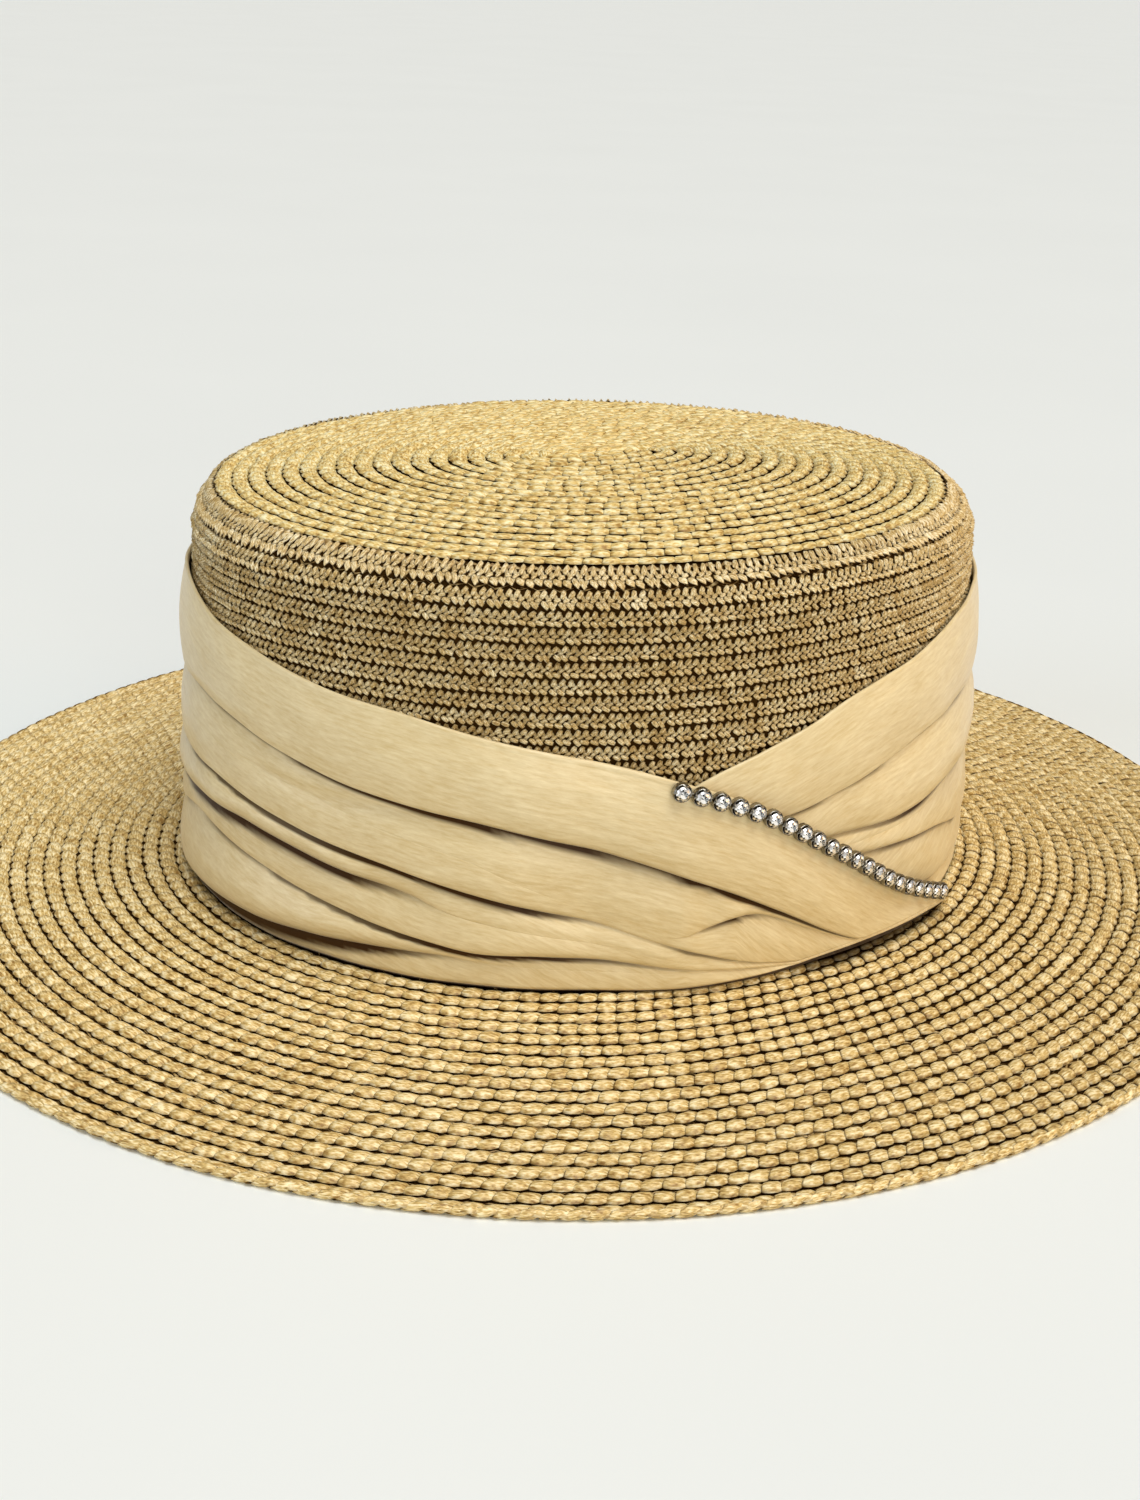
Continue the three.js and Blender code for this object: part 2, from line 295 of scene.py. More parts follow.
def braid_path(line, walk_to, first, last, seat, lean, inside=False, rows=math.inf, shade=no_shade):
    """Points, facing, row width and shade of the braid from one row to another, seated under the outline."""
    turns = np.arange(first, last, PATH_STEP)
    degrees, row = CLIMB_AT + 360 * turns, np.minimum(row_after(turns), rows - 1)
    width = walk_to(row + 1 - INSIDE_ROW, degrees) - walk_to(row + INSIDE_ROW, degrees)
    offset, height, along_out, along_up = on(line, walk_to(row + 0.5, degrees))
    lean = math.radians(lean)
    face_out = -along_up * math.cos(lean) - along_out * math.sin(lean)
    face_up = along_out * math.cos(lean) - along_up * math.sin(lean)
    points = place(degrees, offset + seat * along_up, height - seat * along_out)
    facing = face_out[:, None] * outward(degrees, offset) + face_up[:, None] * np.array([0.0, 0.0, 1.0])
    return points, -facing if inside else facing, width, shade(row, degrees)


def path_mesh(name, points, facing, width, shade):
    """The path as a line of points for Geometry Nodes, with its facing, width and shade as attributes."""
    steps = np.arange(len(points) - 1)
    mesh = new_mesh(name, points, edges=np.stack([steps, steps + 1], -1).tolist())
    give(mesh, "facing", facing)
    give(mesh, "row_width", width * MM)
    give(mesh, "shade", shade)
    return mesh


print("points of the path in a turn:", round(1 / PATH_STEP))

# %% [markdown]
# ## The plait's stitch
#
# The plait is made of twisted paper straws that come in from both edges and cross. A bump map would go flat
# at the hat's outline and in close views, and the dark lines between the rows are what makes it look
# sewn, so each stitch is a small piece of real geometry of a few dozen faces. On the tip and the brim the
# braid is pressed flat, and each crossing reads as a little brick with its left end lying on the one
# before. On the side it is stretched round the block, so the single straws show: a line of grains along the
# upper edge, one along the lower edge, and other straws crossing under them. A few slightly different
# stitches of a kind are enough to hide the repeat.

# %% Bricks for the flat rows
BRICK_LONG, BRICK_HIGH = 4.9, 0.75
TIP_WIDE, BRIM_WIDE = 4.2, 4.0  # both a little wider than a row, so that the rows lap
BRICK_ROUND = 0.34  # the ends are narrower by this share
BRICK_SHEAR = 0.42  # the ends slant by this share of the width
BRICK_BOW = 0.1  # the long edges are shorter than the middle by this share
BRICK_RISE = [(-1.0, 0.35), (-0.82, 0.85), (-0.25, 1.0), (0.45, 0.8), (1.0, -0.15)]  # along and height
BRICK_ACROSS = [-1.0, -0.62, 0.0, 0.62, 1.0]
EDGE_DIP = 0.35  # the long edges turn down to the row below
SHEAR_SPREAD, WIDE_SPREAD, HIGH_SPREAD = 0.12, 0.03, 0.1  # how much the stitches differ


def near(rng, middle, spread):
    return middle + rng.uniform(-spread, spread)


def grid_faces(start, rows, columns):
    """Four-cornered faces between rows of points."""
    faces = []
    for r in range(rows - 1):
        for c in range(columns - 1):
            a = start + r * columns + c
            faces.append((a, a + columns, a + columns + 1, a + 1))
    return faces


def brick(rng, wide, rise_line):
    vertices, uvs = [], []
    shear = near(rng, BRICK_SHEAR, SHEAR_SPREAD)
    wide, high = wide * near(rng, 1, WIDE_SPREAD), BRICK_HIGH * near(rng, 1, HIGH_SPREAD)
    for u, rise in rise_line:
        narrow = 1 - BRICK_ROUND * abs(u) ** 3
        for v in BRICK_ACROSS:
            x = BRICK_LONG / 2 * u * (1 - BRICK_BOW * v * v) + shear * wide / 2 * v
            z = high * rise * math.sqrt(1 - v * v) - EDGE_DIP * v * v
            vertices.append((x, wide / 2 * v * narrow, z))
            uvs.append(((u + 1) / 2, (v + 1) / 2))
    return vertices, grid_faces(0, len(rise_line), len(BRICK_ACROSS)), uvs


print("faces of a brick:", (len(BRICK_RISE) - 1) * (len(BRICK_ACROSS) - 1))

# %% Grains for the side
GRAIN_STEP = 1.8  # along the row
UPPER_MIDDLE, UPPER_SLANT, UPPER_SIZE = 0.85, math.radians(58), (1.75, 1.05, 0.8)  # length, width, height
LOWER_MIDDLE, LOWER_SLANT, LOWER_SIZE = -1.12, math.radians(-34), (1.9, 1.0, 0.8)
INNER_SIZE, INNER_SEAT = (1.5, 0.75, 0.5), -0.1  # the straws that cross in the row's middle
UNDER_SIZE, UNDER_SEAT = (1.8, 0.8, 0.35), -0.4  # and those underneath
UNDER_ALONG, UNDER_ACROSS = 0.5, 0.6
ALONG_SPREAD, ACROSS_SPREAD, INNER_SPREAD = 0.25, 0.08, 0.2  # how far the grains lie out of line
SLANT_SPREAD, INNER_SLANT = 0.3, 0.9  # and how much they turn, in radians
SEAT_SPREAD = (-0.15, 0.1)
GRAIN_RINGS = [(-1.0, 0.65, 0.1), (-0.5, 1.0, 0.95), (0.45, 1.0, 1.0), (1.0, 0.8, 0.1)]  # along, wide, high
SHORT_RINGS = [GRAIN_RINGS[0], (0.0, 1.0, 1.0), GRAIN_RINGS[3]]
GRAIN_ACROSS = [(-1.0, 0.1), (0.0, 1.0), (1.0, 0.0)]  # across and height


def grain(shape, middle, slant, size, seat, rings, rng):
    """Adds one grain to a shape of vertices, faces and UVs. Size is length, width and height."""
    vertices, faces, uvs = shape
    length, wide, high = size
    way = np.array([math.cos(slant), math.sin(slant)])
    side = np.array([-way[1], way[0]])
    faces += grid_faces(len(vertices), len(rings), len(GRAIN_ACROSS))
    for t, share, rise in rings:
        for a, h in GRAIN_ACROSS:
            flat = np.array(middle) + way * t * length / 2 + side * a * share * wide / 2
            vertices.append((*flat, seat + h * rise * high * near(rng, 1, HIGH_SPREAD)))
            uvs.append(((t + 1) / 2, (a + 1) / 2))


def grains(rng):
    """Two steps of the stretched plait: grains on both edges, others crossing between them and underneath."""
    shape = [], [], []
    for x in (-GRAIN_STEP / 2, GRAIN_STEP / 2):
        for across, slant, size in [
            (UPPER_MIDDLE, UPPER_SLANT, UPPER_SIZE),
            (LOWER_MIDDLE, LOWER_SLANT, LOWER_SIZE),
        ]:
            middle = near(rng, x, ALONG_SPREAD), near(rng, across, ACROSS_SPREAD)
            slant, seat = near(rng, slant, SLANT_SPREAD), rng.uniform(*SEAT_SPREAD)
            grain(shape, middle, slant, size, seat, GRAIN_RINGS, rng)
        inner = near(rng, x + GRAIN_STEP / 2, ALONG_SPREAD), near(rng, 0, INNER_SPREAD)
        grain(shape, inner, near(rng, 0, INNER_SLANT), INNER_SIZE, INNER_SEAT, SHORT_RINGS, rng)
        for side in (1, -1):
            under = x + UNDER_ALONG, side * UNDER_ACROSS
            grain(shape, under, -side * UPPER_SLANT, UNDER_SIZE, UNDER_SEAT, SHORT_RINGS, rng)
    return shape


print("rings of a grain:", len(GRAIN_RINGS), "or", len(SHORT_RINGS))

# %% Stitches kept for the tree
KINDS = 5  # slightly different stitches of a kind


def stitches_of(name, shapes):
    """A collection of stitch shapes for the Geometry Nodes tree to pick from."""
    collection = bpy.data.collections.new(name)
    for number, (vertices, faces, uvs) in enumerate(shapes):
        mesh = new_mesh(f"{name}_{number}", vertices, faces=faces)
        layer = mesh.uv_layers.new(name="float_uv")
        for loop in mesh.loops:
            layer.data[loop.index].uv = uvs[loop.vertex_index]
        collection.objects.link(bpy.data.objects.new(mesh.name, mesh))
    print(f"{name}: {len(shapes)} kinds of {len(mesh.polygons)} faces")
    return collection


dice = [np.random.default_rng(seed) for seed in range(KINDS)]
tip_stitches = stitches_of("tip_stitch", [brick(rng, TIP_WIDE, BRICK_RISE) for rng in dice])
brim_stitches = stitches_of("brim_stitch", [brick(rng, BRIM_WIDE, BRICK_RISE) for rng in dice])
side_stitches = stitches_of("side_stitch", [grains(rng) for rng in dice])
plain_stitches = stitches_of("plain_stitch", [brick(rng, BRIM_WIDE, BRICK_RISE[::2]) for rng in dice])

# %% [markdown]
# ## Laying the stitches
#
# The tree turns the path into a curve, drops a point at every pitch, and sets one stitch on each point:
# its Z axis along the facing, its X axis along the braid, stretched to the row's width. An Array on a curve
# would repeat one stitch exactly. Here each one is picked, turned and scaled a little at random, from a fixed
# seed, and keeps a random tone for the straw's colour.

# %% Geometry Nodes tree for the braid
def new_tree(name, inputs):
    tree = bpy.data.node_groups.new(name, "GeometryNodeTree")
    for socket, kind in inputs.items():
        tree.interface.new_socket(socket, in_out="INPUT", socket_type="NodeSocket" + kind)
    tree.interface.new_socket("Result", in_out="OUTPUT", socket_type="NodeSocketGeometry")
    return tree


braid_tree = new_tree(
    "sewn_braid",
    {
        "Path": "Geometry",
        "Stitches": "Collection",
        "Pitch": "Float",
        "Stitch Width": "Float",
        "Height": "Float",
        "Unevenness": "Float",
        "Seed": "Int",
        "Straw": "Material",
    },
)
given = add(braid_tree, "NodeGroupInput").outputs
line = add(braid_tree, "GeometryNodeMeshToCurve", {"Mesh": given["Path"]})
pitched = {"Curve": line, "Length": given["Pitch"]}
spaced = add(braid_tree, "GeometryNodeResampleCurve", pitched, mode="LENGTH")
facing = add(braid_tree, "GeometryNodeInputNamedAttribute", {"Name": "facing"}, data_type="FLOAT_VECTOR")
width = add(braid_tree, "GeometryNodeInputNamedAttribute", {"Name": "row_width"}, data_type="FLOAT")
along = add(braid_tree, "GeometryNodeInputTangent")
print("braid tree's inputs:", list(given.keys())[:-1])

# %% How each stitch is turned and stretched
turned = add(
    braid_tree,
    "FunctionNodeAxesToRotation",
    {"Primary Axis": facing, "Secondary Axis": along},
    primary_axis="Z",
    secondary_axis="X",
)
most = given["Unevenness"]
least = add(braid_tree, "ShaderNodeMath", {0: most, 1: -1.0}, operation="MULTIPLY")
low = add(braid_tree, "ShaderNodeCombineXYZ", {axis: least for axis in "XYZ"})
high = add(braid_tree, "ShaderNodeCombineXYZ", {axis: most for axis in "XYZ"})
jitter = add(
    braid_tree,
    "FunctionNodeRandomValue",
    {"Min": low, "Max": high, "Seed": given["Seed"]},
    data_type="FLOAT_VECTOR",
)
wobble = add(braid_tree, "FunctionNodeEulerToRotation", {"Euler": jitter})
laid = add(
    braid_tree,
    "FunctionNodeRotateRotation",
    {"Rotation": turned, "Rotate By": wobble},
    rotation_space="LOCAL",
)
stretch = add(braid_tree, "ShaderNodeMath", {0: width, 1: given["Stitch Width"]}, operation="DIVIDE")
size = add(braid_tree, "ShaderNodeCombineXYZ", {"X": 1.0, "Y": stretch, "Z": given["Height"]})
uneven = add(braid_tree, "ShaderNodeVectorMath", {0: jitter, 1: (1.0, 1.0, 1.0)}, operation="ADD")
sized = add(braid_tree, "ShaderNodeVectorMath", {0: size, 1: uneven}, operation="MULTIPLY")
print("braid tree so far:", len(braid_tree.nodes), "nodes")

# %% Setting the stitches on the points
kinds = add(
    braid_tree,
    "GeometryNodeCollectionInfo",
    {"Collection": given["Stitches"], "Separate Children": True, "Reset Children": True},
)
pick = add(
    braid_tree,
    "FunctionNodeRandomValue",
    {"Min": 0, "Max": KINDS - 1, "Seed": given["Seed"]},
    data_type="INT",
)
stitches = add(
    braid_tree,
    "GeometryNodeInstanceOnPoints",
    {
        "Points": spaced,
        "Instance": kinds,
        "Pick Instance": True,
        "Instance Index": pick,
        "Rotation": laid,
        "Scale": sized,
    },
)
tone = add(braid_tree, "FunctionNodeRandomValue", {"Seed": given["Seed"]}, data_type="FLOAT")
toned = add(
    braid_tree,
    "GeometryNodeStoreNamedAttribute",
    {"Geometry": stitches, "Name": "tone", "Value": tone},
    data_type="FLOAT",
    domain="INSTANCE",
)
real = add(braid_tree, "GeometryNodeRealizeInstances", {"Geometry": toned})
straw = add(braid_tree, "GeometryNodeSetMaterial", {"Geometry": real, "Material": given["Straw"]})
add(braid_tree, "NodeGroupOutput", {"Result": straw})
print("braid tree:", len(braid_tree.nodes), "nodes")


# %% From a path to a finished mesh
def grow(name, mesh, tree, values):
    """Runs a tree on a mesh and keeps the result as a plain mesh in a new piece."""
    seedling = put(name + "_path", mesh)
    modifier = seedling.modifiers.new(tree.name, "NODES")
    modifier.node_group = tree
    for socket in tree.interface.items_tree:
        if socket.in_out == "INPUT" and socket.name in values:
            modifier[socket.identifier] = values[socket.name]
    grown = evaluated_mesh(seedling)
    bpy.data.objects.remove(seedling)
    grown.name = name
    piece = put(name, grown)
    print(f"{name}: {triangles(piece):,} triangles")
    return piece


# %% [markdown]
# ## Paper straw
#
# The plait is twisted paper, dyed a golden wheat colour and stiffened with a thin size. That leaves a dull
# skin with a weak broad shine, fine streaks along each straw, and stitches of slightly different tone. The
# streaks follow each straw's own UV map, so they turn with it. Where a straw turns down into a gap, shade is
# painted into it: it gets dark and loses its shine. On the flat rows that painted shade is mostly at the
# outer edge, which stands up over the next row. The tip's copy is painted paler, with lighter gaps, than the
# side's.

# %% Colour of a straw
FIBRES = (3.5, 10.0, 1.0)  # light and dark places along and across one straw
FIBRE_TURN = 0.6  # radians; the twist of the paper slants its streaks
PATCH = 2.2  # size of lighter and darker places that run over several straws, mm
TONE_JUMP = 83.0  # far enough for each stitch to have streaks of its own
STREAKY, PATCHY, TONED = 2.2, 0.6, 0.14  # shares of the streaks, the patches and a stitch's own tone
STRAW_LEVEL = -0.94  # brings their sum to the middle of the colours
STRAW_STOPS = (0.1, 0.5, 0.9)  # where the dark, the middle and the light colour lie


def new_material(name):
    material = bpy.data.materials.new(name)
    material.use_nodes = True
    tree = material.node_tree
    return material, tree, tree.nodes["Principled BSDF"]


def straw_colour(tree, uv, colours):
    """The streaky colour of a straw, and its streaks alone."""
    tone = add(tree, "ShaderNodeAttribute", attribute_name="tone").outputs["Fac"]
    spread = {"Vector": uv, "Rotation": (0.0, 0.0, FIBRE_TURN), "Scale": FIBRES}
    streak = add(
        tree,
        "ShaderNodeTexNoise",
        {
            "Vector": add(tree, "ShaderNodeMapping", spread),
            "W": add(tree, "ShaderNodeMath", {0: tone, 1: TONE_JUMP}, operation="MULTIPLY"),
            "Scale": 1.0,
            "Detail": 2.0,
        },
        noise_dimensions="4D",
    )
    at = add(tree, "ShaderNodeTexCoord").outputs["Object"]
    patch = add(tree, "ShaderNodeTexNoise", {"Vector": at, "Scale": 1 / (PATCH * MM), "Detail": 1.0})
    level = STRAW_LEVEL
    for part, share in [(streak, STREAKY), (patch, PATCHY), (tone, TONED)]:
        level = add(tree, "ShaderNodeMath", {0: part, 1: share, 2: level}, operation="MULTIPLY_ADD")
    return add(tree, "ShaderNodeValToRGB", {"Fac": level}, zip(STRAW_STOPS, colours)), streak


print("streaks along and across a straw:", FIBRES[:2])

# %% Painted shade at a straw's edges
# painted shade: a straw's colour is darkened at its ends and long edges, where it turns down into a gap
END_SHARE = 0.2  # the part of a straw's half length that turns down into the gap
END_DARK = 0.85  # how dark it gets there
BOTH_EDGES = (0.26, 0.26)  # the same part of its half width, at its upper and lower edge
LAPPED_EDGE = (0.08, 0.38)  # a flat row is dark at its outer edge, which stands up over the next row
EDGE_MIDDLE = 0.4  # how dark a long edge is in its middle, against 1 at its ends


def painted_edge_shade(tree, uv, edges):
    """How dark the painted shade makes a straw at its edges and ends, and the place across it from -1 to 1.
    """
    upper, lower = edges
    doubled, back = (2.0, 2.0, 0.0), (-1.0, -1.0, 0.0)
    from_middle = add(tree, "ShaderNodeVectorMath", {0: uv, 1: doubled, 2: back}, operation="MULTIPLY_ADD")
    off_middle = add(tree, "ShaderNodeVectorMath", {0: from_middle}, operation="ABSOLUTE")
    along = add(tree, "ShaderNodeSeparateXYZ", {0: off_middle}).outputs["X"]
    across = add(tree, "ShaderNodeSeparateXYZ", {0: from_middle}).outputs["Y"]
    at_upper, at_lower, at_end = [
        add(
            tree,
            "ShaderNodeMapRange",
            {"Value": value, "From Min": start, "From Max": end, "To Max": most},
            interpolation_type="SMOOTHSTEP",
        )
        for value, start, end, most in [
            (across, 1 - upper, 1.0, 1.0),
            (across, lower - 1, -1.0, 1.0),
            (along, 1 - END_SHARE, 1.0, END_DARK),
        ]
    ]
    squared = add(tree, "ShaderNodeMath", {0: along, 1: along}, operation="MULTIPLY")
    bowed = {0: squared, 1: 1 - EDGE_MIDDLE, 2: EDGE_MIDDLE}
    to_ends = add(tree, "ShaderNodeMath", bowed, operation="MULTIPLY_ADD")
    at_sides = add(tree, "ShaderNodeMath", {0: at_upper, 1: at_lower}, operation="MAXIMUM")
    at_sides = add(tree, "ShaderNodeMath", {0: at_sides, 1: to_ends}, operation="MULTIPLY")
    return add(tree, "ShaderNodeMath", {0: at_sides, 1: at_end}, operation="MAXIMUM"), across


print("dark part of a flat straw's half width:", LAPPED_EDGE)

# %% Straw materials
LAP_SHADOW_BROWN = "1E1006"  # straw in the deep shade under the satin's lap
STRAW_SHINE = 0.5  # where it isn't dark
STRAW_ROUGH = (0.25, 0.55)
STRAW_IOR = 1.45  # paper with a thin size on it
FIBRE_BUMP = 0.3  # mm, coarser than the paper's real fibres so that it shows


def straw_material(name, colours, gap, edges):
    material, tree, shader = new_material(name)
    uv = add(tree, "ShaderNodeUVMap", uv_map="float_uv")
    colour, streak = straw_colour(tree, uv, colours)
    edge_shade, across = painted_edge_shade(tree, uv, edges)
    # painted shade: edges and ends are mixed towards the gap colour, a dark brown that stands for the shade
    # there
    edge_shaded = add(tree, "ShaderNodeMix", {"Factor": edge_shade, "A": colour, "B": srgb(gap)}, data_type="RGBA")
    # painted shadow: the lap's shade comes in from one side of the row and fills it as it grows
    shade = add(tree, "ShaderNodeAttribute", attribute_name="shade").outputs["Fac"]
    side = add(tree, "ShaderNodeMath", {0: across, 1: 0.5, 2: -0.5}, operation="MULTIPLY_ADD")
    grown = {0: shade, 1: 2.0, 2: side}
    graded = add(tree, "ShaderNodeMath", grown, operation="MULTIPLY_ADD", use_clamp=True)
    shade_browned = {"Factor": graded, "A": edge_shaded, "B": srgb(LAP_SHADOW_BROWN)}
    shaded = add(tree, "ShaderNodeMix", shade_browned, data_type="RGBA")
    dark = add(tree, "ShaderNodeMath", {0: edge_shade, 1: graded}, operation="MAXIMUM")
    shine = add(tree, "ShaderNodeMapRange", {"Value": dark, "To Min": STRAW_SHINE, "To Max": 0.0})
    smooth, rough = STRAW_ROUGH
    dull = add(tree, "ShaderNodeMapRange", {"Value": streak, "To Min": smooth, "To Max": rough})
    bump = add(tree, "ShaderNodeBump", {"Height": streak, "Strength": 0.8, "Distance": FIBRE_BUMP * MM})
    fill(tree, shader, {"Base Color": shaded, "Specular IOR Level": shine, "Roughness": dull})
    fill(tree, shader, {"Normal": bump, "IOR": STRAW_IOR})
    return material


# painted light and shade: copies of one paper straw, lighter on the tip, darker on the side, and one of its
# own for the edge row, for how the light falls on them
lit_tip_straw = straw_material("pressed_paper_straw", ("A8823E", "E8CC80", "FFF8CA"), "563A16", LAPPED_EDGE)
paper_straw = straw_material("paper_straw", ("9A763A", "D9BC78", "FFF0C2"), "4A3012", LAPPED_EDGE)
edge_row_straw = straw_material("turned_paper_straw", ("9C7A40", "D6BA7C", "FFF4D0"), "3E280E", BOTH_EDGES)
shaded_side_straw = straw_material("stretched_paper_straw", ("8A6730", "CCAE6C", "FFF6D2"), "2E1C08", BOTH_EDGES)
inner_straw = straw_material("inner_paper_straw", ("A38048", "CBAE72", "E4CD94"), "64441C", BOTH_EDGES)
print("nodes in a straw material:", len(paper_straw.node_tree.nodes))

# %% Painted shade in the gaps
GAP_PATCH = 2.0  # mm
# painted shade: the dark browns that show through the gaps between the stitches
GAP_SHADE_BROWNS = [(0.0, "261607"), (1.0, "463012")]
gap_shade_wall, tree, shader = new_material("straw_in_the_gaps")
at = add(tree, "ShaderNodeTexCoord").outputs["Object"]
noise = add(tree, "ShaderNodeTexNoise", {"Vector": at, "Scale": 1 / (GAP_PATCH * MM)})
brown = add(tree, "ShaderNodeValToRGB", {"Fac": noise}, GAP_SHADE_BROWNS)
fill(tree, shader, {"Base Color": brown, "Roughness": 0.8, "Specular IOR Level": 0.0})
print("straw in the gaps:", gap_shade_wall.name)

# %% [markdown]
# ## Crown and brim
#
# The crown's rows show down to the band, and the rest of them lie under it, so the outside stops where
# the band covers it. The inside shows them all, with plainer stitches, since it is seen less. Between the
# two sits a thin wall that stands for the straws running underneath, painted dark brown as the shade in the
# gaps.
# Each row is tilted, so that its lower edge stands up on the row that it laps over. That draws the dark line
# under every row.

# %% The crown's braid
ROW = 3.85  # width of the braid that a stitch is drawn for
TIP_PITCH, SIDE_PITCH, BRIM_PITCH, PLAIN_PITCH = 3.8, 3.6, 4.1, 4.2  # from one stitch to the next
SEAT, EDGE_SEAT, INSIDE_SEAT = 0.8, 1.0, 2.1  # depth of the stitches' base under the outline
TIP_TILT, SIDE_TILT, BRIM_TILT = 12.0, 11.0, 10.5  # tilt of a row that laps over the next one, in degrees
HIDDEN_ROW, LAST_ROW = 32, 44.4  # where the outside stops under the band, and the last row inside
INSIDE_HEIGHT, UNDERSIDE_HEIGHT = 0.8, 0.67  # the plain stitches' height, as a share of the others'
UNEVEN, SIDE_UNEVEN = 0.06, 0.05  # how much a stitch is turned, in radians, and scaled


def braid(name, path, stitches, pitch, straw, seed, height=1.0, uneven=UNEVEN):
    values = {
        "Stitches": stitches,
        "Pitch": pitch * MM,
        "Stitch Width": ROW * MM,
        "Height": height,
        "Unevenness": uneven,
        "Seed": seed,
        "Straw": straw,
    }
    return grow(name, path_mesh(name + "_path", *path), braid_tree, values)


tip_path = braid_path(crown_line, crown_walk, 0, EDGE_ROW, SEAT, TIP_TILT)
edge_path = braid_path(crown_line, crown_walk, EDGE_ROW, EDGE_ROW + 1, EDGE_SEAT, 0)
side_path = braid_path(crown_line, crown_walk, EDGE_ROW + 1, HIDDEN_ROW, SEAT, SIDE_TILT)
inside_path = braid_path(crown_line, crown_walk, 0, LAST_ROW, INSIDE_SEAT, 0, inside=True)
crown_pieces = [
    braid("crown_tip_braid", tip_path, tip_stitches, TIP_PITCH, lit_tip_straw, 1),
    braid("crown_edge_braid", edge_path, side_stitches, SIDE_PITCH, edge_row_straw, 7, uneven=SIDE_UNEVEN),
    braid("crown_side_braid", side_path, side_stitches, SIDE_PITCH, shaded_side_straw, 2, uneven=SIDE_UNEVEN),
    braid("crown_inside_braid", inside_path, plain_stitches, PLAIN_PITCH, inner_straw, 3, INSIDE_HEIGHT),
]

# %% The brim's braid
BRIM_TURNS = -CLIMB / 2, BRIM_ROWS + CLIMB / 2  # the braid's two ends lap over at the back
UNDERSIDE_SEAT = 1.5
# painted shadow of the satin's lap on the brim's first rows
LAP_SHADE = [0.85, 0.5, 0.06, 0.0]  # in the brim's first rows
LAP_SHADE_FROM, LAP_SHADE_TO = (-4, 12), (33, 36)  # degrees over which it comes and goes
RIM_WIDTH, RIM_IN = 2.1, 0.75  # the last row, turned outwards, and its seat inside the edge


def lap_shade(row, degrees):
    """Painted shadow on the brim under the satin's lap: strong in the first row, gone in the fourth."""
    along = between(LAP_SHADE_FROM, LAP_SHADE_TO, degrees % 360)
    return along * np.interp(row, range(len(LAP_SHADE)), LAP_SHADE)


top_path = braid_path(brim_line, brim_walk, *BRIM_TURNS, SEAT, BRIM_TILT, rows=BRIM_ROWS, shade=lap_shade)
under_path = braid_path(brim_line, underside_walk, *BRIM_TURNS, UNDERSIDE_SEAT, 0, True, rows=BRIM_ROWS)
rim_turns = np.arange(0, 1 + PATH_STEP / 2, PATH_STEP)
level = np.ones(len(rim_turns))
rim_points = place(360 * rim_turns, BRIM - RIM_IN, level * STRAW / 2)
rim_path = rim_points, outward(360 * rim_turns, BRIM), level * RIM_WIDTH, 0 * level
brim_pieces = [
    braid("brim_braid", top_path, brim_stitches, BRIM_PITCH, paper_straw, 4),
    braid("brim_underside_braid", under_path, plain_stitches, PLAIN_PITCH, inner_straw, 5, UNDERSIDE_HEIGHT),
    braid("brim_rim_braid", rim_path, brim_stitches, BRIM_PITCH, paper_straw, 6),
]

# %% The wall of painted shade between the two faces of the braid
CORE_SEAT = 1.35  # depth of the dark wall under the outline
CROWN_CORE, BRIM_CORE = 0.35, 0.12  # its thickness; on the brim it leaves room for the braid underneath
CORE_HOLE, CORE_SHORT = 0.4, 1.2  # its distance from the tip's middle and from the brim's edge
CORE_SIDES, CROWN_STEPS, BRIM_STEPS = 120, 50, 24


def core(name, line, steps, thick, start, end):
    """A thin wall of painted shade under the outline, closed into a loop all round the oval."""
    offset, height, along_out, along_up = on(line, np.linspace(start, end, steps))
    degrees = np.arange(CORE_SIDES) * 360 / CORE_SIDES
    depths = CORE_SEAT, CORE_SEAT + thick
    walls = [(offset + depth * along_up, height - depth * along_out) for depth in depths]
    loop = [np.concatenate([outer, inner[::-1]]) for outer, inner in zip(*walls)]
    rings = place(degrees, loop[0][:, None], loop[1][:, None])
    index = np.arange(len(rings) * CORE_SIDES).reshape(len(rings), CORE_SIDES)
    after, beside = np.roll(index, -1, axis=0), np.roll(index, -1, axis=1)
    quads = np.stack([index, after, np.roll(after, -1, axis=1), beside], -1).reshape(-1, 4)
    piece = put(name, new_mesh(name, rings.reshape(-1, 3), faces=quads.tolist()))
    piece.data.materials.append(gap_shade_wall)
    print(f"{name}: {triangles(piece):,} triangles")
    return piece


crown_pieces.append(core("crown_core", crown_line, CROWN_STEPS, CROWN_CORE, CORE_HOLE, CROWN_LENGTH))
brim_pieces.append(core("brim_core", brim_line, BRIM_STEPS, BRIM_CORE, 0, BRIM_LENGTH - CORE_SHORT))
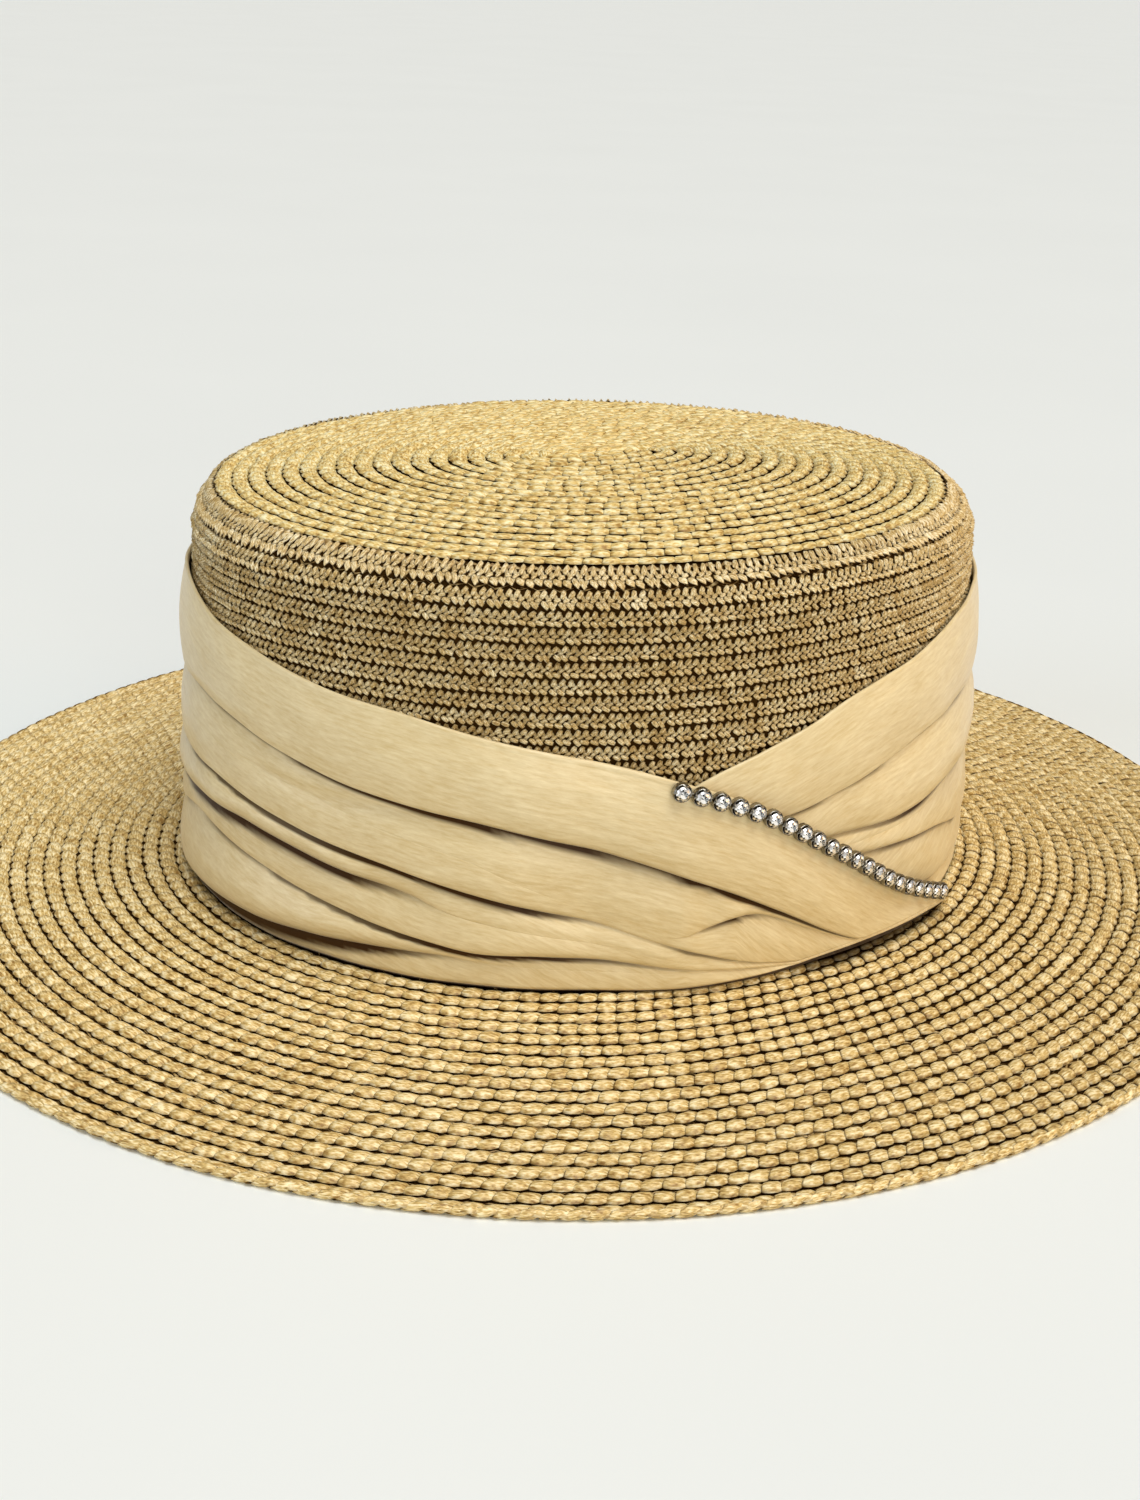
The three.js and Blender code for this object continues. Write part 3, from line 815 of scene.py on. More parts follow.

# %% [markdown]
# ## The satin band
#
# The band is one strip of champagne satin, laid in tucks like the slats of a blind: each fold's lower edge
# stands out over the next one. It starts at the front under the lap, runs once round the crown and comes
# back over its own start, falling from the crown's upper half down to the brim. A cloth simulation would
# not keep tacked folds where the maker put them, so each fold is a line drawn round the hat. At an
# angle it has the height of its crease, how deep it is folded, and how high its rounded edge is. A depth of
# 0 is a fold that has run out. Angles past 360 are the lap that lies on top.

# %% Fold lines
TOP_HEM = [  # angle and height
    (-14.25, 48), (-8, 53.8), (4, 60.5), (13, 66.4), (21, 69.3), (30, 72.1), (37, 74.3), (46, 76.3),
    (70, 78), (250, 78), (264, 77), (273, 74.2), (285, 71.4), (301, 67.7), (313, 65.6), (326, 61.5),
    (338, 58.2), (345, 55.7), (352, 51.7), (360, 45.4), (366, 39), (372, 32), (379, 24), (387, 16.1),
    (391, 12.9), (395, 10.2),
]
FOLD_LINES = [  # angle, height of the crease, depth of the fold over it, and height of its rounded edge
    [
        (-8, 40, 1.3, 0.7), (5, 42.5, 1.4, 0.7), (16, 46.7, 1.4, 0.7), (27, 51.3, 1.4, 0.7),
        (39, 53.8, 1.5, 0.9), (60, 55, 1.7, 1.2), (255, 56, 1.7, 1.0), (273, 55.4, 1.5, 0.6),
        (284, 53.4, 1.5, 0.6), (303, 48, 1.8, 0.9), (322, 44.1, 2.4, 1.8), (338, 39, 2.5, 2.0),
        (346, 34.8, 2.4, 1.8), (355, 28, 2.2, 1.3), (363, 20.5, 1.9, 1.0), (370, 13.1, 1.6, 0.8),
        (376, 8, 1.0, 0.5), (398, 7.2, 0.1, 0.3),
    ],
    [
        (-8, 34, 0.8, 1.6), (12, 34.6, 1.0, 1.6), (22, 33.4, 1.4, 1.6), (30, 34, 2.3, 2.2),
        (34, 36.2, 2.8, 2.4), (41, 37.6, 2.8, 2.4), (48, 40, 2.6, 2.0), (60, 42, 2.2, 1.6),
        (90, 42.5, 1.6, 1.3), (150, 45, 0, 0.3), (255, 50, 0, 0.3), (300, 43, 0, 0.3),
        (322, 36, 0, 0.3), (340, 22.8, 0, 0.3), (346, 19, 0, 0.4),
        (349, 18.6, 0, 0.5), (352, 20.2, 1.0, 1.0), (354.5, 22.2, 2.0, 1.5), (357, 22.6, 2.2, 1.6),
        (359.5, 21.6, 2.1, 1.5), (362, 19.8, 1.9, 1.2), (366, 16, 1.4, 0.8), (371, 11.4, 0.8, 0.5),
        (376, 7.9, 0.3, 0.4), (398, 7.15, 0.05, 0.3),
    ],
    [
        (-8, 31, 0, 0.5), (30, 31.5, 0, 0.5), (37, 34, 0, 0.8), (42, 35.2, 1.4, 1.6), (47, 36, 2.4, 2.0),
        (54, 37, 2.2, 1.8), (90, 38.5, 1.7, 1.3), (255, 38, 1.6, 1.0), (269, 38, 1.5, 0.6),
        (277, 38.4, 1.6, 0.6), (297, 34.5, 1.7, 0.7), (312, 31.2, 2.1, 1.2), (326, 26.5, 2.5, 1.8),
        (339, 21.9, 1.9, 1.2), (350, 15.2, 1.3, 0.8), (358, 10.4, 0.9, 0.6), (366, 7.8, 0.4, 0.5),
        (398, 7.1, 0.1, 0.3),
    ],
    [
        (-8, 28, 0.6, 2.0), (12, 28, 0.8, 2.0), (19, 27.5, 1.4, 1.2), (26, 26.6, 1.6, 1.0),
        (36, 24.5, 1.6, 1.0), (46, 20, 1.6, 1.0), (70, 21, 1.6, 1.3), (180, 25, 1.6, 1.4),
        (255, 28, 1.8, 2.2), (274, 30.6, 2.4, 3.0), (285, 31.2, 2.6, 3.2), (294, 30, 2.6, 3.2),
        (304, 27.8, 2.3, 3.0), (312, 26.2, 1.2, 2.6),
        (321, 22.5, 0, 2.0), (339, 17.5, 0, 1.0), (352, 11.5, 0, 0.4), (398, 7, 0, 0.3),
    ],
    [
        (-8, 14, 1.0, 0.8), (16, 13, 1.1, 0.8), (30, 12, 1.2, 0.8), (46, 11, 1.2, 0.8), (180, 11, 1.2, 0.8),
        (255, 20, 1.3, 0.7), (272, 25.7, 1.4, 0.5), (282, 24.5, 1.4, 0.5), (299, 20.1, 1.4, 0.5),
        (314, 16.1, 1.8, 0.9), (323, 13.9, 2.4, 1.6), (330, 14.4, 2.6, 1.8), (339, 13.7, 2.4, 1.6),
        (346, 11.9, 1.8, 1.2), (352, 10.2, 1.1, 0.8), (366, 7.4, 0.3, 0.4), (398, 6.9, 0.05, 0.3),
    ],
    [
        (-8, 10, 0, 0.4), (46, 9, 0, 0.4), (180, 8.8, 0, 0.4), (240, 7.8, 0, 0.6), (250, 7.6, 0.8, 1.5),
        (262, 7.4, 2.2, 3.0), (277, 8.6, 3.2, 4.0), (294, 10.2, 3.4, 4.2), (304, 11.4, 3.2, 4.0),
        (312, 12.2, 2.4, 3.0), (319, 12.4, 0.8, 1.5), (327, 11.5, 0, 0.5), (398, 6.8, 0, 0.3),
    ],
]
FOOT_ROOM = [  # angle, and how far the lower edge is off the brim
    (-8, 0.4), (345, 0.5), (360, 1.1), (374, 2.7), (386, 2.5), (395, 1.5),
]
print("fold lines:", len(FOLD_LINES), "stations:", sum(len(stations) for stations in FOLD_LINES))

# %% Lines through the stations
BAND_START, BAND_END, BAND_STEP = -14.25, 394.5, 1.25  # degrees
BAND_FOOT = 6.0  # height of the brim at the crown's foot
SOFTENING = 7  # a fold line is rounded over this many steps

band_at = np.arange(BAND_START, BAND_END + BAND_STEP / 2, BAND_STEP)


def drawn(stations, column):
    """Values along the band through a few stations, with the corners rounded off."""
    values = np.interp(band_at, [s[0] for s in stations], [s[column] for s in stations])
    window = np.hanning(SOFTENING + 2)[1:-1]
    padded = np.pad(values, SOFTENING // 2, mode="reflect", reflect_type="odd")
    return np.convolve(padded, window / window.sum(), mode="valid")


hem = drawn(TOP_HEM, 1)
foot_room = drawn(FOOT_ROOM, 1)
foot = BAND_FOOT + foot_room
print("sections of the band:", len(band_at), "from", band_at[0], "to", band_at[-1], "degrees")

# %% Folds that keep clear of each other
LEAST_GAP = 0.06  # folds that run out at the foot still keep this apart
MOST_DEPTH, LEAST_EDGE, MOST_EDGE = 0.4, 0.02, 0.6  # most is a share of the room under the fold above
FOOT_STAND = 0.6  # the lowest slat's stand at the foot
SWELL = 1.5  # the larger, the sooner a slat comes out

creases = []
ceiling = hem
for number, stations in enumerate(FOLD_LINES):
    lowest = foot + LEAST_GAP * (len(FOLD_LINES) - number)
    crease = np.clip(drawn(stations, 1), lowest, ceiling - LEAST_GAP)
    room = ceiling - crease
    depth = np.clip(drawn(stations, 2), 0, MOST_DEPTH * room)
    edge = np.clip(drawn(stations, 3), LEAST_EDGE, MOST_EDGE * room)
    creases.append((crease, depth, edge))
    ceiling = crease


def swell(v):
    """How far a slat has come out, as a share, after a share of its way down."""
    return 1 - (1 - v) ** SWELL


# a fold that runs out has no depth left, and its crease lies on the slat that then goes on past it
folds = []
next_top, next_stand = foot, FOOT_STAND + 0 * foot
for number in range(len(creases) - 1, -1, -1):
    crease, depth, edge = creases[number]
    above = creases[number - 1][0] if number else hem
    way = np.clip((above - crease) / np.maximum(above - next_top, LEAST_GAP), 0, 1)
    stand = depth + (1 - smooth_step(0, 1, depth)) * next_stand * swell(way)
    folds.insert(0, (crease, depth, edge, stand))
    next_top, next_stand = crease + edge, stand
print("deepest fold:", round(max(float(fold[1].max()) for fold in folds), 2), "mm")

# %% The belly of a slat
BELLY = 0.042  # how far a slat stands out in its middle, for each millimetre of its height

# it reaches from the nearest crease above to the nearest one below that are really folded
upper, lower = [hem], [foot]
for crease, depth, edge in creases:
    upper.append(upper[-1] + (crease - upper[-1]) * smooth_step(0, 1, depth))
for crease, depth, edge in reversed(creases):
    lower.insert(0, lower[0] + (crease - lower[0]) * smooth_step(0, 1, depth))


def belly(number, height):
    room = np.maximum(upper[number] - lower[number], LEAST_GAP)
    return BELLY * room * np.sin(math.pi * np.clip((upper[number] - height) / room, 0, 1))


print("largest belly:", round(BELLY * max(float((a - b).max()) for a, b in zip(upper, lower)), 2), "mm")

# %% [markdown]
# A cross-section of the strip is a row of slats. It starts with the rolled hem, comes down the first slat,
# swells out to a rounded edge, curls under to the crease, goes a little way back up behind itself and starts
# the next slat. Every section has the same number of points, so the sections join into one continuous
# sheet. Little light gets into a deep fold, so each point also keeps a painted shade for how deep it lies in
# a fold, and the satin's colour is darkened by it.

# %% Hem and slats
BACK_OFF = 0.3  # the strip's back off its seat
HEM_ROLL = 0.9  # thickness of the rolled hem
HEM_POINTS = [(0.0, 2.2), (0.1, 0.4), (HEM_ROLL / 2, 0.0), (HEM_ROLL, 0.45)]  # how far out and down
SLAT_POINTS = 12
SLAT_CLOSER = 1.6  # draws a slat's points together near its top

base = BACK_OFF + 0 * band_at
clear = 0 * band_at
# the third number is the painted fold shade that darkens the satin's colour there
section = [(base + out, hem - down, clear) for out, down in HEM_POINTS]  # offset, height, how deep in a fold


def slat(number, top, bottom, start_off, end_off, shade):
    """Points down the flat of a slat, whose top is painted with the shade of the fold above."""
    shade_from, reach, darkness = shade
    for v in np.linspace(0, 1, SLAT_POINTS) ** SLAT_CLOSER:
        height = top + (bottom - top) * v
        dark = darkness * np.clip(1 - (shade_from - height) / reach, 0, 1)
        section.append((start_off + (end_off - start_off) * swell(v) + belly(number, height), height, dark))


print("points of the hem and of a slat:", len(section), SLAT_POINTS)

# %% Down through all the folds
HEM_END = (HEM_ROLL, 0.2, 1.2)  # the first slat starts this far out, back in and down
EDGE_POINTS = 5
CURL = 0.75  # share of a fold's depth that curls back in under the edge
TUCK, MOST_TUCK = 0.9, 0.5  # how far a fold goes back up, by its depth, and at most, by the slat's height
TUCK_POINTS = [(0.84, 0.5), (0.9, 1.0)]  # shares of the fold's depth, back in, and of the tuck's way up
TUCK_END = (0.96, 0.85)  # the same where the next slat starts
LOOK_UNDER = 0.42  # what a fold's edge hides of the next slat, for each millimetre of depth
SHADE_FULL, SHADE_LEAST, SHADE_FADE = 0.06, 0.14, 0.08  # the shade below a fold, by its edge squared
LEAST_FOLD, DEEP_FOLD = 0.1, 2.1  # a shallower fold isn't dark, and a deeper one is as dark as any
FOOT_BACK, FOOT_UP = 0.8, 0.2  # the layer behind the lower edge: back for each millimetre of room, and up

roll, inwards, down = HEM_END
top, start_off, shade = hem - down, base + roll - inwards, (hem, 1.0, clear)
for number, (crease, depth, edge, stand) in enumerate(folds):
    slat(number, top, crease + edge, start_off, base + stand, shade)
    darkness = smooth_step(LEAST_FOLD, DEEP_FOLD, depth)
    for turn in np.radians(np.linspace(0, 90, EDGE_POINTS))[1:]:
        height = crease + edge * (1 - math.sin(turn))
        out = base + stand - CURL * depth * (1 - math.cos(turn)) + belly(number, height)
        section.append((out, height, darkness * (turn / (math.pi / 2)) ** 2))
    tuck = np.minimum(TUCK * depth, MOST_TUCK * (top - crease))
    for share, way_up in TUCK_POINTS:
        section.append((base + stand - share * depth, crease + way_up * tuck, darkness))
    share, way_up = TUCK_END
    top, start_off = crease + way_up * tuck, base + stand - share * depth
    shade = crease - LOOK_UNDER * depth - SHADE_FULL * edge**2, SHADE_LEAST + SHADE_FADE * edge**2, darkness
slat(len(folds), top, foot, start_off, base + FOOT_STAND, shade)
back = base + FOOT_STAND - FOOT_BACK * foot_room
# painted shade: the layer behind the lower edge is fully dark
section += [(back, foot + FOOT_UP, clear + 1), (back, foot - foot_room, clear + 1)]
print("points in a section:", len(section))

# %% Soft unevenness
RIPPLES = [  # size, waves in a turn, slant and phase
    (0.14, 9.0, 0.05, 0.3), (0.10, 17.0, 0.16, 1.9), (0.06, 31.0, 0.31, 4.1),
]
DENTS = [  # line of angles and heights, depth, and how far the dent reaches up and down
    ([(286, 46.5), (294, 44.5), (300, 43.5), (306, 44), (313, 44)], 0.8, 1.3, 2.2),
    ([(314, 42), (319, 41.2), (324, 40)], 0.5, 0.8, 2.2),
]
DENT_FADE = 4.0  # degrees over which a dent runs out at its ends


def ripple(at, height):
    turn = np.radians(at)
    return sum(s * np.sin(turn * waves + height * slant + phase) for s, waves, slant, phase in RIPPLES)


def dents(at, height):
    """Soft hollows that the folds leave in a slat."""
    total = 0 * height
    for line, deep, up, down in DENTS:
        angles, heights = zip(*line)
        away = height - np.interp(at, angles, heights)
        shape = np.exp(-((away / np.where(away > 0, up, down)) ** 2))
        first, last = [(angle - DENT_FADE, angle + DENT_FADE) for angle in (angles[0], angles[-1])]
        total = total + deep * shape * between(first, last, at)
    return total


print("ripples:", len(RIPPLES), "dents:", len(DENTS))

# %% From sections to points on the hat
UNDER_LIFT, OVER_LIFT = 0.3, 2.6  # the strip off the crown, and the extra lift of the lap on top
LAP_START, LAP_END = 336.0, 350.0
FLARE = 2.6  # the lap's end stands out over the brim
FLARE_ALONG, FLARE_DOWN = (366, 388), (14, BAND_FOOT)  # angles and heights over which it does
DARK_FROM, DARK_TO, DARK_BELOW = (2, 8), (30, 38), (12, 9)  # the start's foot lies in the shade of the lap
DENT_MOST = 0.7  # share of a slat's stand that a dent may take away


def side_offset(height):
    return -LEAN * (height - FOOT) / (EDGE - EDGE_DOWN - FOOT)


lift = UNDER_LIFT + OVER_LIFT * smooth_step(LAP_START, LAP_END, band_at)
stand_off = np.array([s[0] for s in section]) + lift
heights = np.array([s[1] for s in section])
# painted shade where the lap's shadow falls on the start's foot
in_lap_shade = between(DARK_FROM, DARK_TO, band_at) * smooth_step(*DARK_BELOW, heights)
shades = np.maximum(np.array([s[2] for s in section]), in_lap_shade)
flare = FLARE * smooth_step(*FLARE_ALONG, band_at) * smooth_step(*FLARE_DOWN, np.maximum(heights, foot))
hollow = np.minimum(dents(band_at, heights), DENT_MOST * np.maximum(stand_off - lift - base, 0))
offsets = side_offset(heights) + stand_off + flare + ripple(band_at, heights) - hollow
rows = place(band_at, offsets, heights)
print("strip stands off the crown by", round(float(stand_off.max()), 1), "mm at most")

# %% [markdown]
# The rows of points become one sheet. Its UV map is the strip laid flat, in metres: along the crown's mean
# oval one way and across all the folds the other way, so the weave runs with the cloth. The sheet is
# measured here, while it is still a single layer, and Solidify then makes it as thick as doubled satin.

# %% Sheet and thickness
SATIN = 0.3  # thickness
count, length = rows.shape[:2]
index = np.arange(count * length).reshape(count, length)
faces = np.stack([index[:-1, :-1], index[1:, :-1], index[1:, 1:], index[:-1, 1:]], -1).reshape(-1, 4)
mesh = new_mesh("satin_sheet", rows.reshape(-1, 3), faces=faces.tolist())
give(mesh, "fold_depth", shades.ravel())
steps_across = np.linalg.norm(np.diff(rows, axis=0), axis=-1)
across = np.concatenate([np.zeros((1, length)), np.cumsum(steps_across, axis=0)])
along_band = np.radians(band_at) * (LONG + SHORT) / 2 + 0 * across
flat = np.stack([along_band.ravel(), across.ravel()], -1).astype(np.float32) * MM
corner = np.empty(len(mesh.loops), int)
mesh.loops.foreach_get("vertex_index", corner)
mesh.uv_layers.new(name="strip_uv").data.foreach_set("uv", flat[corner].ravel())

satin_sheet = put("satin_sheet", mesh)
thickness = satin_sheet.modifiers.new("doubled_satin", "SOLIDIFY")
thickness.thickness, thickness.offset = SATIN * MM, -1.0
satin_band = put("satin_band_cloth", evaluated_mesh(satin_sheet))
satin_band.data.name = satin_band.name
bpy.data.objects.remove(satin_sheet)
print(f"satin_band_cloth: {triangles(satin_band):,} triangles")

# %% [markdown]
# ## Champagne satin
#
# Satin is woven so that long threads float over the surface, which gives it a broad silky shine and a
# darker, warmer colour where it turns away. This one has a fine slub: threads of uneven thickness that
# draw thin crosswise streaks. The threads are far too fine for the picture, so they are drawn about three
# times too coarse. Anisotropic gloss would be the usual way to draw the shine out along the threads. Streaks
# in roughness and bump do it here. Handling leaves broad faint patches and a soft unevenness, and sheen
# gives the pale bloom at the folds. Deep in a fold, shade is painted into the colour, which turns browner,
# and the shine is weaker.

# %% Satin material
THREAD = 0.35  # drawn width of a thread, mm
WEAVE = [  # length and width of a mark in mm, detail and roughness of its noise: slub, threads and patches
    (4.0, 2 * THREAD, 3.0, 0.65), (1.2, THREAD, 1.0, 0.5), (15.0, 5.0, 2.0, 0.5),
]
HANDLED = 0.3  # share of the patches in the colour, against the slub
CHAMPAGNE = [(0.3, "CEB884"), (0.7, "E8DAB2")]
# painted shade: the brown that the colour turns to deep in a fold
FOLD_SHADE_BROWN = "3E270C"
SATIN_ROUGH = (0.28, 0.44)
SATIN_SHINE = (0.5, 0.1)  # in the open and deep in a fold
SOFT_BUMP, THREAD_BUMP = 1.0, 0.1  # mm

champagne_satin, tree, shader = new_material("champagne_satin")
uv = add(tree, "ShaderNodeUVMap", uv_map="strip_uv")
marks = []
for long, wide, detail, rough in WEAVE:
    spread = add(tree, "ShaderNodeMapping", {"Vector": uv, "Scale": (1 / (long * MM), 1 / (wide * MM), 1.0)})
    values = {"Vector": spread, "Scale": 1.0, "Detail": detail, "Roughness": rough}
    marks.append(add(tree, "ShaderNodeTexNoise", values))
slub, thread, patch = marks
streaks = add(tree, "ShaderNodeMix", {"Factor": HANDLED, "A": slub, "B": patch}, data_type="FLOAT")
colour = add(tree, "ShaderNodeValToRGB", {"Fac": streaks}, CHAMPAGNE)
fold_shade = add(tree, "ShaderNodeAttribute", attribute_name="fold_depth").outputs["Fac"]
shade_browned = {"Factor": fold_shade, "A": colour, "B": srgb(FOLD_SHADE_BROWN)}
shaded = add(tree, "ShaderNodeMix", shade_browned, data_type="RGBA")
dull, shine = [
    add(tree, "ShaderNodeMapRange", {"Value": value, "To Min": start, "To Max": end})
    for value, (start, end) in [(slub, SATIN_ROUGH), (fold_shade, SATIN_SHINE)]
]
soft = add(tree, "ShaderNodeBump", {"Height": patch, "Strength": 0.5, "Distance": SOFT_BUMP * MM})
woven = {"Height": thread, "Strength": 0.25, "Distance": THREAD_BUMP * MM, "Normal": soft}
bump = add(tree, "ShaderNodeBump", woven)
fill(tree, shader, {"Base Color": shaded, "Roughness": dull, "Specular IOR Level": shine, "Normal": bump})
fill(tree, shader, {"Sheen Weight": 0.2, "Sheen Roughness": 0.35, "Sheen Tint": srgb("FFF1DC"), "IOR": 1.5})
satin_band.data.materials.append(champagne_satin)
print("satin material:", len(tree.nodes), "nodes")

# %% [markdown]
# ## The rhinestone cup chain
#
# A cup chain is a row of small stamped cups joined by links, with a foiled glass stone held in each cup by
# four prongs. The CAD stones give each place: the middle of a stone's box and the direction straight out of
# the oval there. Cups, links and stones repeat along that line, so Geometry Nodes set them on its points.

# %% Where the cups sit
STONE_MIDDLE = 1.85  # from a cup's base to the middle of its stone
stones = sorted(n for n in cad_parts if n.startswith("rhinestone"))
middles = np.array([sum(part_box(n), Vector()) / 2 for n in stones]) / MM
stone_at = np.degrees(np.arctan2(middles[:, 0] / LONG, -middles[:, 1] / SHORT))
stone_out = outward(stone_at)
seats = middles - STONE_MIDDLE * stone_out
pitches = np.linalg.norm(np.diff(seats, axis=0), axis=1)
print(len(stones), "stones, pitch", round(float(pitches.mean()), 2), "mm")

# %% A cup and a stone
SIDES = 16  # of a cup and of a stone
CUP_LINE = [(0, 0), (1.75, 0), (2.05, 0.3), (2.1, 1.5)]  # radius and height up the outside
CUP_INSIDE = [(1.8, 1.4), (1.7, 0.8), (0, 0.8)]
PRONG = [(1.78, 2.35), (1.5, 2.42), (1.52, 2.25)]  # four prongs bend over the stone
VALLEY = [(2.08, 1.7), (1.95, 1.72), (1.84, 1.62)]  # between them the rim stays low
STONE_LINE = [(0, 1.0), (0.85, 1.47), (1.6, 1.9), (1.6, 2.08)]  # from the stone's point to its girdle
KITES = [(1.22, 2.5), (1.32, 2.44)]  # between girdle and table, on every other side
TABLE_RADIUS, TABLE_HEIGHT = 0.88, 2.7  # the flat top has eight corners


def lathe(name, lines, collection, smooth):
    """A shape turned round Z: lines gives radius and height for each side, a radius of 0 closes an end."""
    rings = len(lines[0])
    vertices, faces = [], []
    for k, line in enumerate(lines):
        angle = 2 * math.pi * k / len(lines)
        vertices += [(r * math.cos(angle), r * math.sin(angle), h) for r, h in line]
        here, after = k * rings, (k + 1) % len(lines) * rings
        for r in range(rings - 1):
            faces.append((here + r, after + r, after + r + 1, here + r + 1))
    mesh = new_mesh(name, vertices, faces=faces, smooth=smooth)
    mesh.validate()
    shape = bpy.data.objects.new(name, mesh)
    collection.objects.link(shape)
    return shape


jewels = bpy.data.collections.new("jewels")
cup_lines = [CUP_LINE + (PRONG if k % 4 == 0 else VALLEY) + CUP_INSIDE for k in range(SIDES)]
cup_shape = lathe("cup", cup_lines, jewels, smooth=True)
table_radii = [TABLE_RADIUS, TABLE_RADIUS * math.cos(math.pi / 8)]
stone_lines = []
for k in range(SIDES):
    table = [(table_radii[k % 2], TABLE_HEIGHT), (0, TABLE_HEIGHT)]
    stone_lines.append(STONE_LINE + [KITES[k % 2]] + table)
stone_shape = lathe("stone", stone_lines, jewels, smooth=False)
painted_facet_brightness = np.random.default_rng(5).random(len(stone_shape.data.polygons))
give(stone_shape.data, "facet", painted_facet_brightness, domain="FACE")
print("faces of a cup and of a stone:", len(cup_shape.data.polygons), len(stone_shape.data.polygons))

# %% Geometry Nodes tree for the chain
chain_tree = new_tree(
    "set_on_points",
    {
        "Points": "Geometry",
        "Shape": "Object",
        "Link Radius": "Float",
        "Link Height": "Float",
        "Material": "Material",
    },
)
given = add(chain_tree, "NodeGroupInput").outputs
facing = add(chain_tree, "GeometryNodeInputNamedAttribute", {"Name": "facing"}, data_type="FLOAT_VECTOR")
chain_line = add(chain_tree, "GeometryNodeMeshToCurve", {"Mesh": given["Points"]})
along = add(chain_tree, "GeometryNodeInputTangent")
turned = add(
    chain_tree,
    "FunctionNodeAxesToRotation",
    {"Primary Axis": facing, "Secondary Axis": along},
    primary_axis="Z",
    secondary_axis="X",
)
shape = add(chain_tree, "GeometryNodeObjectInfo", {"Object": given["Shape"]}).outputs["Geometry"]
set_shapes = add(
    chain_tree,
    "GeometryNodeInstanceOnPoints",
    {"Points": chain_line, "Instance": shape, "Rotation": turned},
)
lifted = {0: facing, "Scale": given["Link Height"]}
raised = add(chain_tree, "ShaderNodeVectorMath", lifted, operation="SCALE")
wire_line = add(chain_tree, "GeometryNodeSetPosition", {"Geometry": chain_line, "Offset": raised})
wire_size = {"Resolution": 6, "Radius": given["Link Radius"]}
wire_round = add(chain_tree, "GeometryNodeCurvePrimitiveCircle", wire_size)
wire = add(
    chain_tree,
    "GeometryNodeCurveToMesh",
    {"Curve": wire_line, "Profile Curve": wire_round, "Fill Caps": True},
)
joined = add(chain_tree, "GeometryNodeJoinGeometry", {"Geometry": set_shapes})
fill(chain_tree, joined, {"Geometry": wire})
real = add(chain_tree, "GeometryNodeRealizeInstances", {"Geometry": joined})
coated = add(chain_tree, "GeometryNodeSetMaterial", {"Geometry": real, "Material": given["Material"]})
add(chain_tree, "NodeGroupOutput", {"Result": coated})
print("chain tree:", len(chain_tree.nodes), "nodes")

# %% [markdown]
# ## Silver plate and cut glass
#
# The cups are stamped brass with a thin silver plate, a little dulled by handling. The stones are lead glass
# with a mirror foil on their back, so light that enters a stone comes back out through another facet, and
# each facet shows a different light or dark piece of the room. Following that light takes many bounces, so a
# stone is drawn as a foil whose facets each have their own painted brightness, a painted reflection, under a
# clear coat for the glass.

# %% Metal and glass materials
TARNISH = 1.2  # size of a dulled place, mm
SILVERS = [(0.0, "5E5A52"), (1.0, "B4B1A8")]
PLATE_ROUGH = (0.14, 0.34)
FACET_REFLECTIONS = [(0.0, "2C2F33"), (0.25, "B9BFC6"), (0.5, "FFFFFF")]  # half of the facets are bright
GLASS_IOR = 1.6  # lead glass

silver_plate, tree, shader = new_material("silver_plate")
at = add(tree, "ShaderNodeTexCoord").outputs["Object"]
dulled = add(tree, "ShaderNodeTexNoise", {"Vector": at, "Scale": 1 / (TARNISH * MM), "Detail": 2.0})
silver = add(tree, "ShaderNodeValToRGB", {"Fac": dulled}, SILVERS)
polished, worn = PLATE_ROUGH
polish = add(tree, "ShaderNodeMapRange", {"Value": dulled, "To Min": polished, "To Max": worn})
fill(tree, shader, {"Base Color": silver, "Roughness": polish, "Metallic": 1.0})

cut_glass, tree, shader = new_material("foiled_cut_glass")
facet = add(tree, "ShaderNodeAttribute", attribute_name="facet").outputs["Fac"]
# painted reflection: each facet gets a fixed dark, grey or white colour of its own
seen = add(tree, "ShaderNodeValToRGB", {"Fac": facet}, FACET_REFLECTIONS)
seen.color_ramp.interpolation = "CONSTANT"
fill(tree, shader, {"Base Color": seen, "Metallic": 0.6, "Roughness": 0.12})
fill(tree, shader, {"Coat Weight": 1.0, "Coat Roughness": 0.02, "Coat IOR": GLASS_IOR})
print("chain materials:", silver_plate.name, cut_glass.name)

# %% Set the chain
LINK_RADIUS, LINK_HEIGHT = 0.36, 0.4
even = np.ones(len(seats))
chain_points = path_mesh("chain_points", seats, stone_out, even, 0 * even)
cups, glass = [
    grow(
        name,
        chain_points,
        chain_tree,
        {"Shape": shape, "Link Radius": radius * MM, "Link Height": height * MM, "Material": material},
    )
    for name, shape, radius, height, material in [
        ("cup_chain_metal", cup_shape, LINK_RADIUS, LINK_HEIGHT, silver_plate),
        ("rhinestones_cut", stone_shape, 0.0, 0.0, cut_glass),
    ]
]

# %% [markdown]
# ## Each piece on the hat's body, in place of its CAD node
#
# Every piece rides on the hat's one body and stands for the CAD node of the same thing, which stays hidden
# and keeps its place in the collision model.

# %% Bodies, nodes and slots
for pieces, nodes, slot in [
    (crown_pieces, ["straw_crown"], "straw"),
    (brim_pieces, ["straw_brim"], "straw"),
    ([satin_band], ["satin_band"], "satin"),
    ([cups], ["cup_chain"], "cup_metal"),
    ([glass], stones, "rhinestone"),
]:
    for piece in pieces:
        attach(piece, "root")
        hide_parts(*nodes)
    print(f"{slot}: {len(pieces)} pieces stand for {len(nodes)} nodes")

# %% [markdown]
# ## Table, light and camera
#
# The picture is a plain product shot on a white table. One large soft light stands overhead and a second
# one in front, low enough to reach into the folds. A cool one on the left and a warm one on the right give
# the two sides their colours. Area lamps would fade over the table, so all four are suns, made wide for soft
# shadows. The camera stands close, so the brim's front edge is much larger than its back. Its place and
# angles were fitted to the hat's outline in the picture.

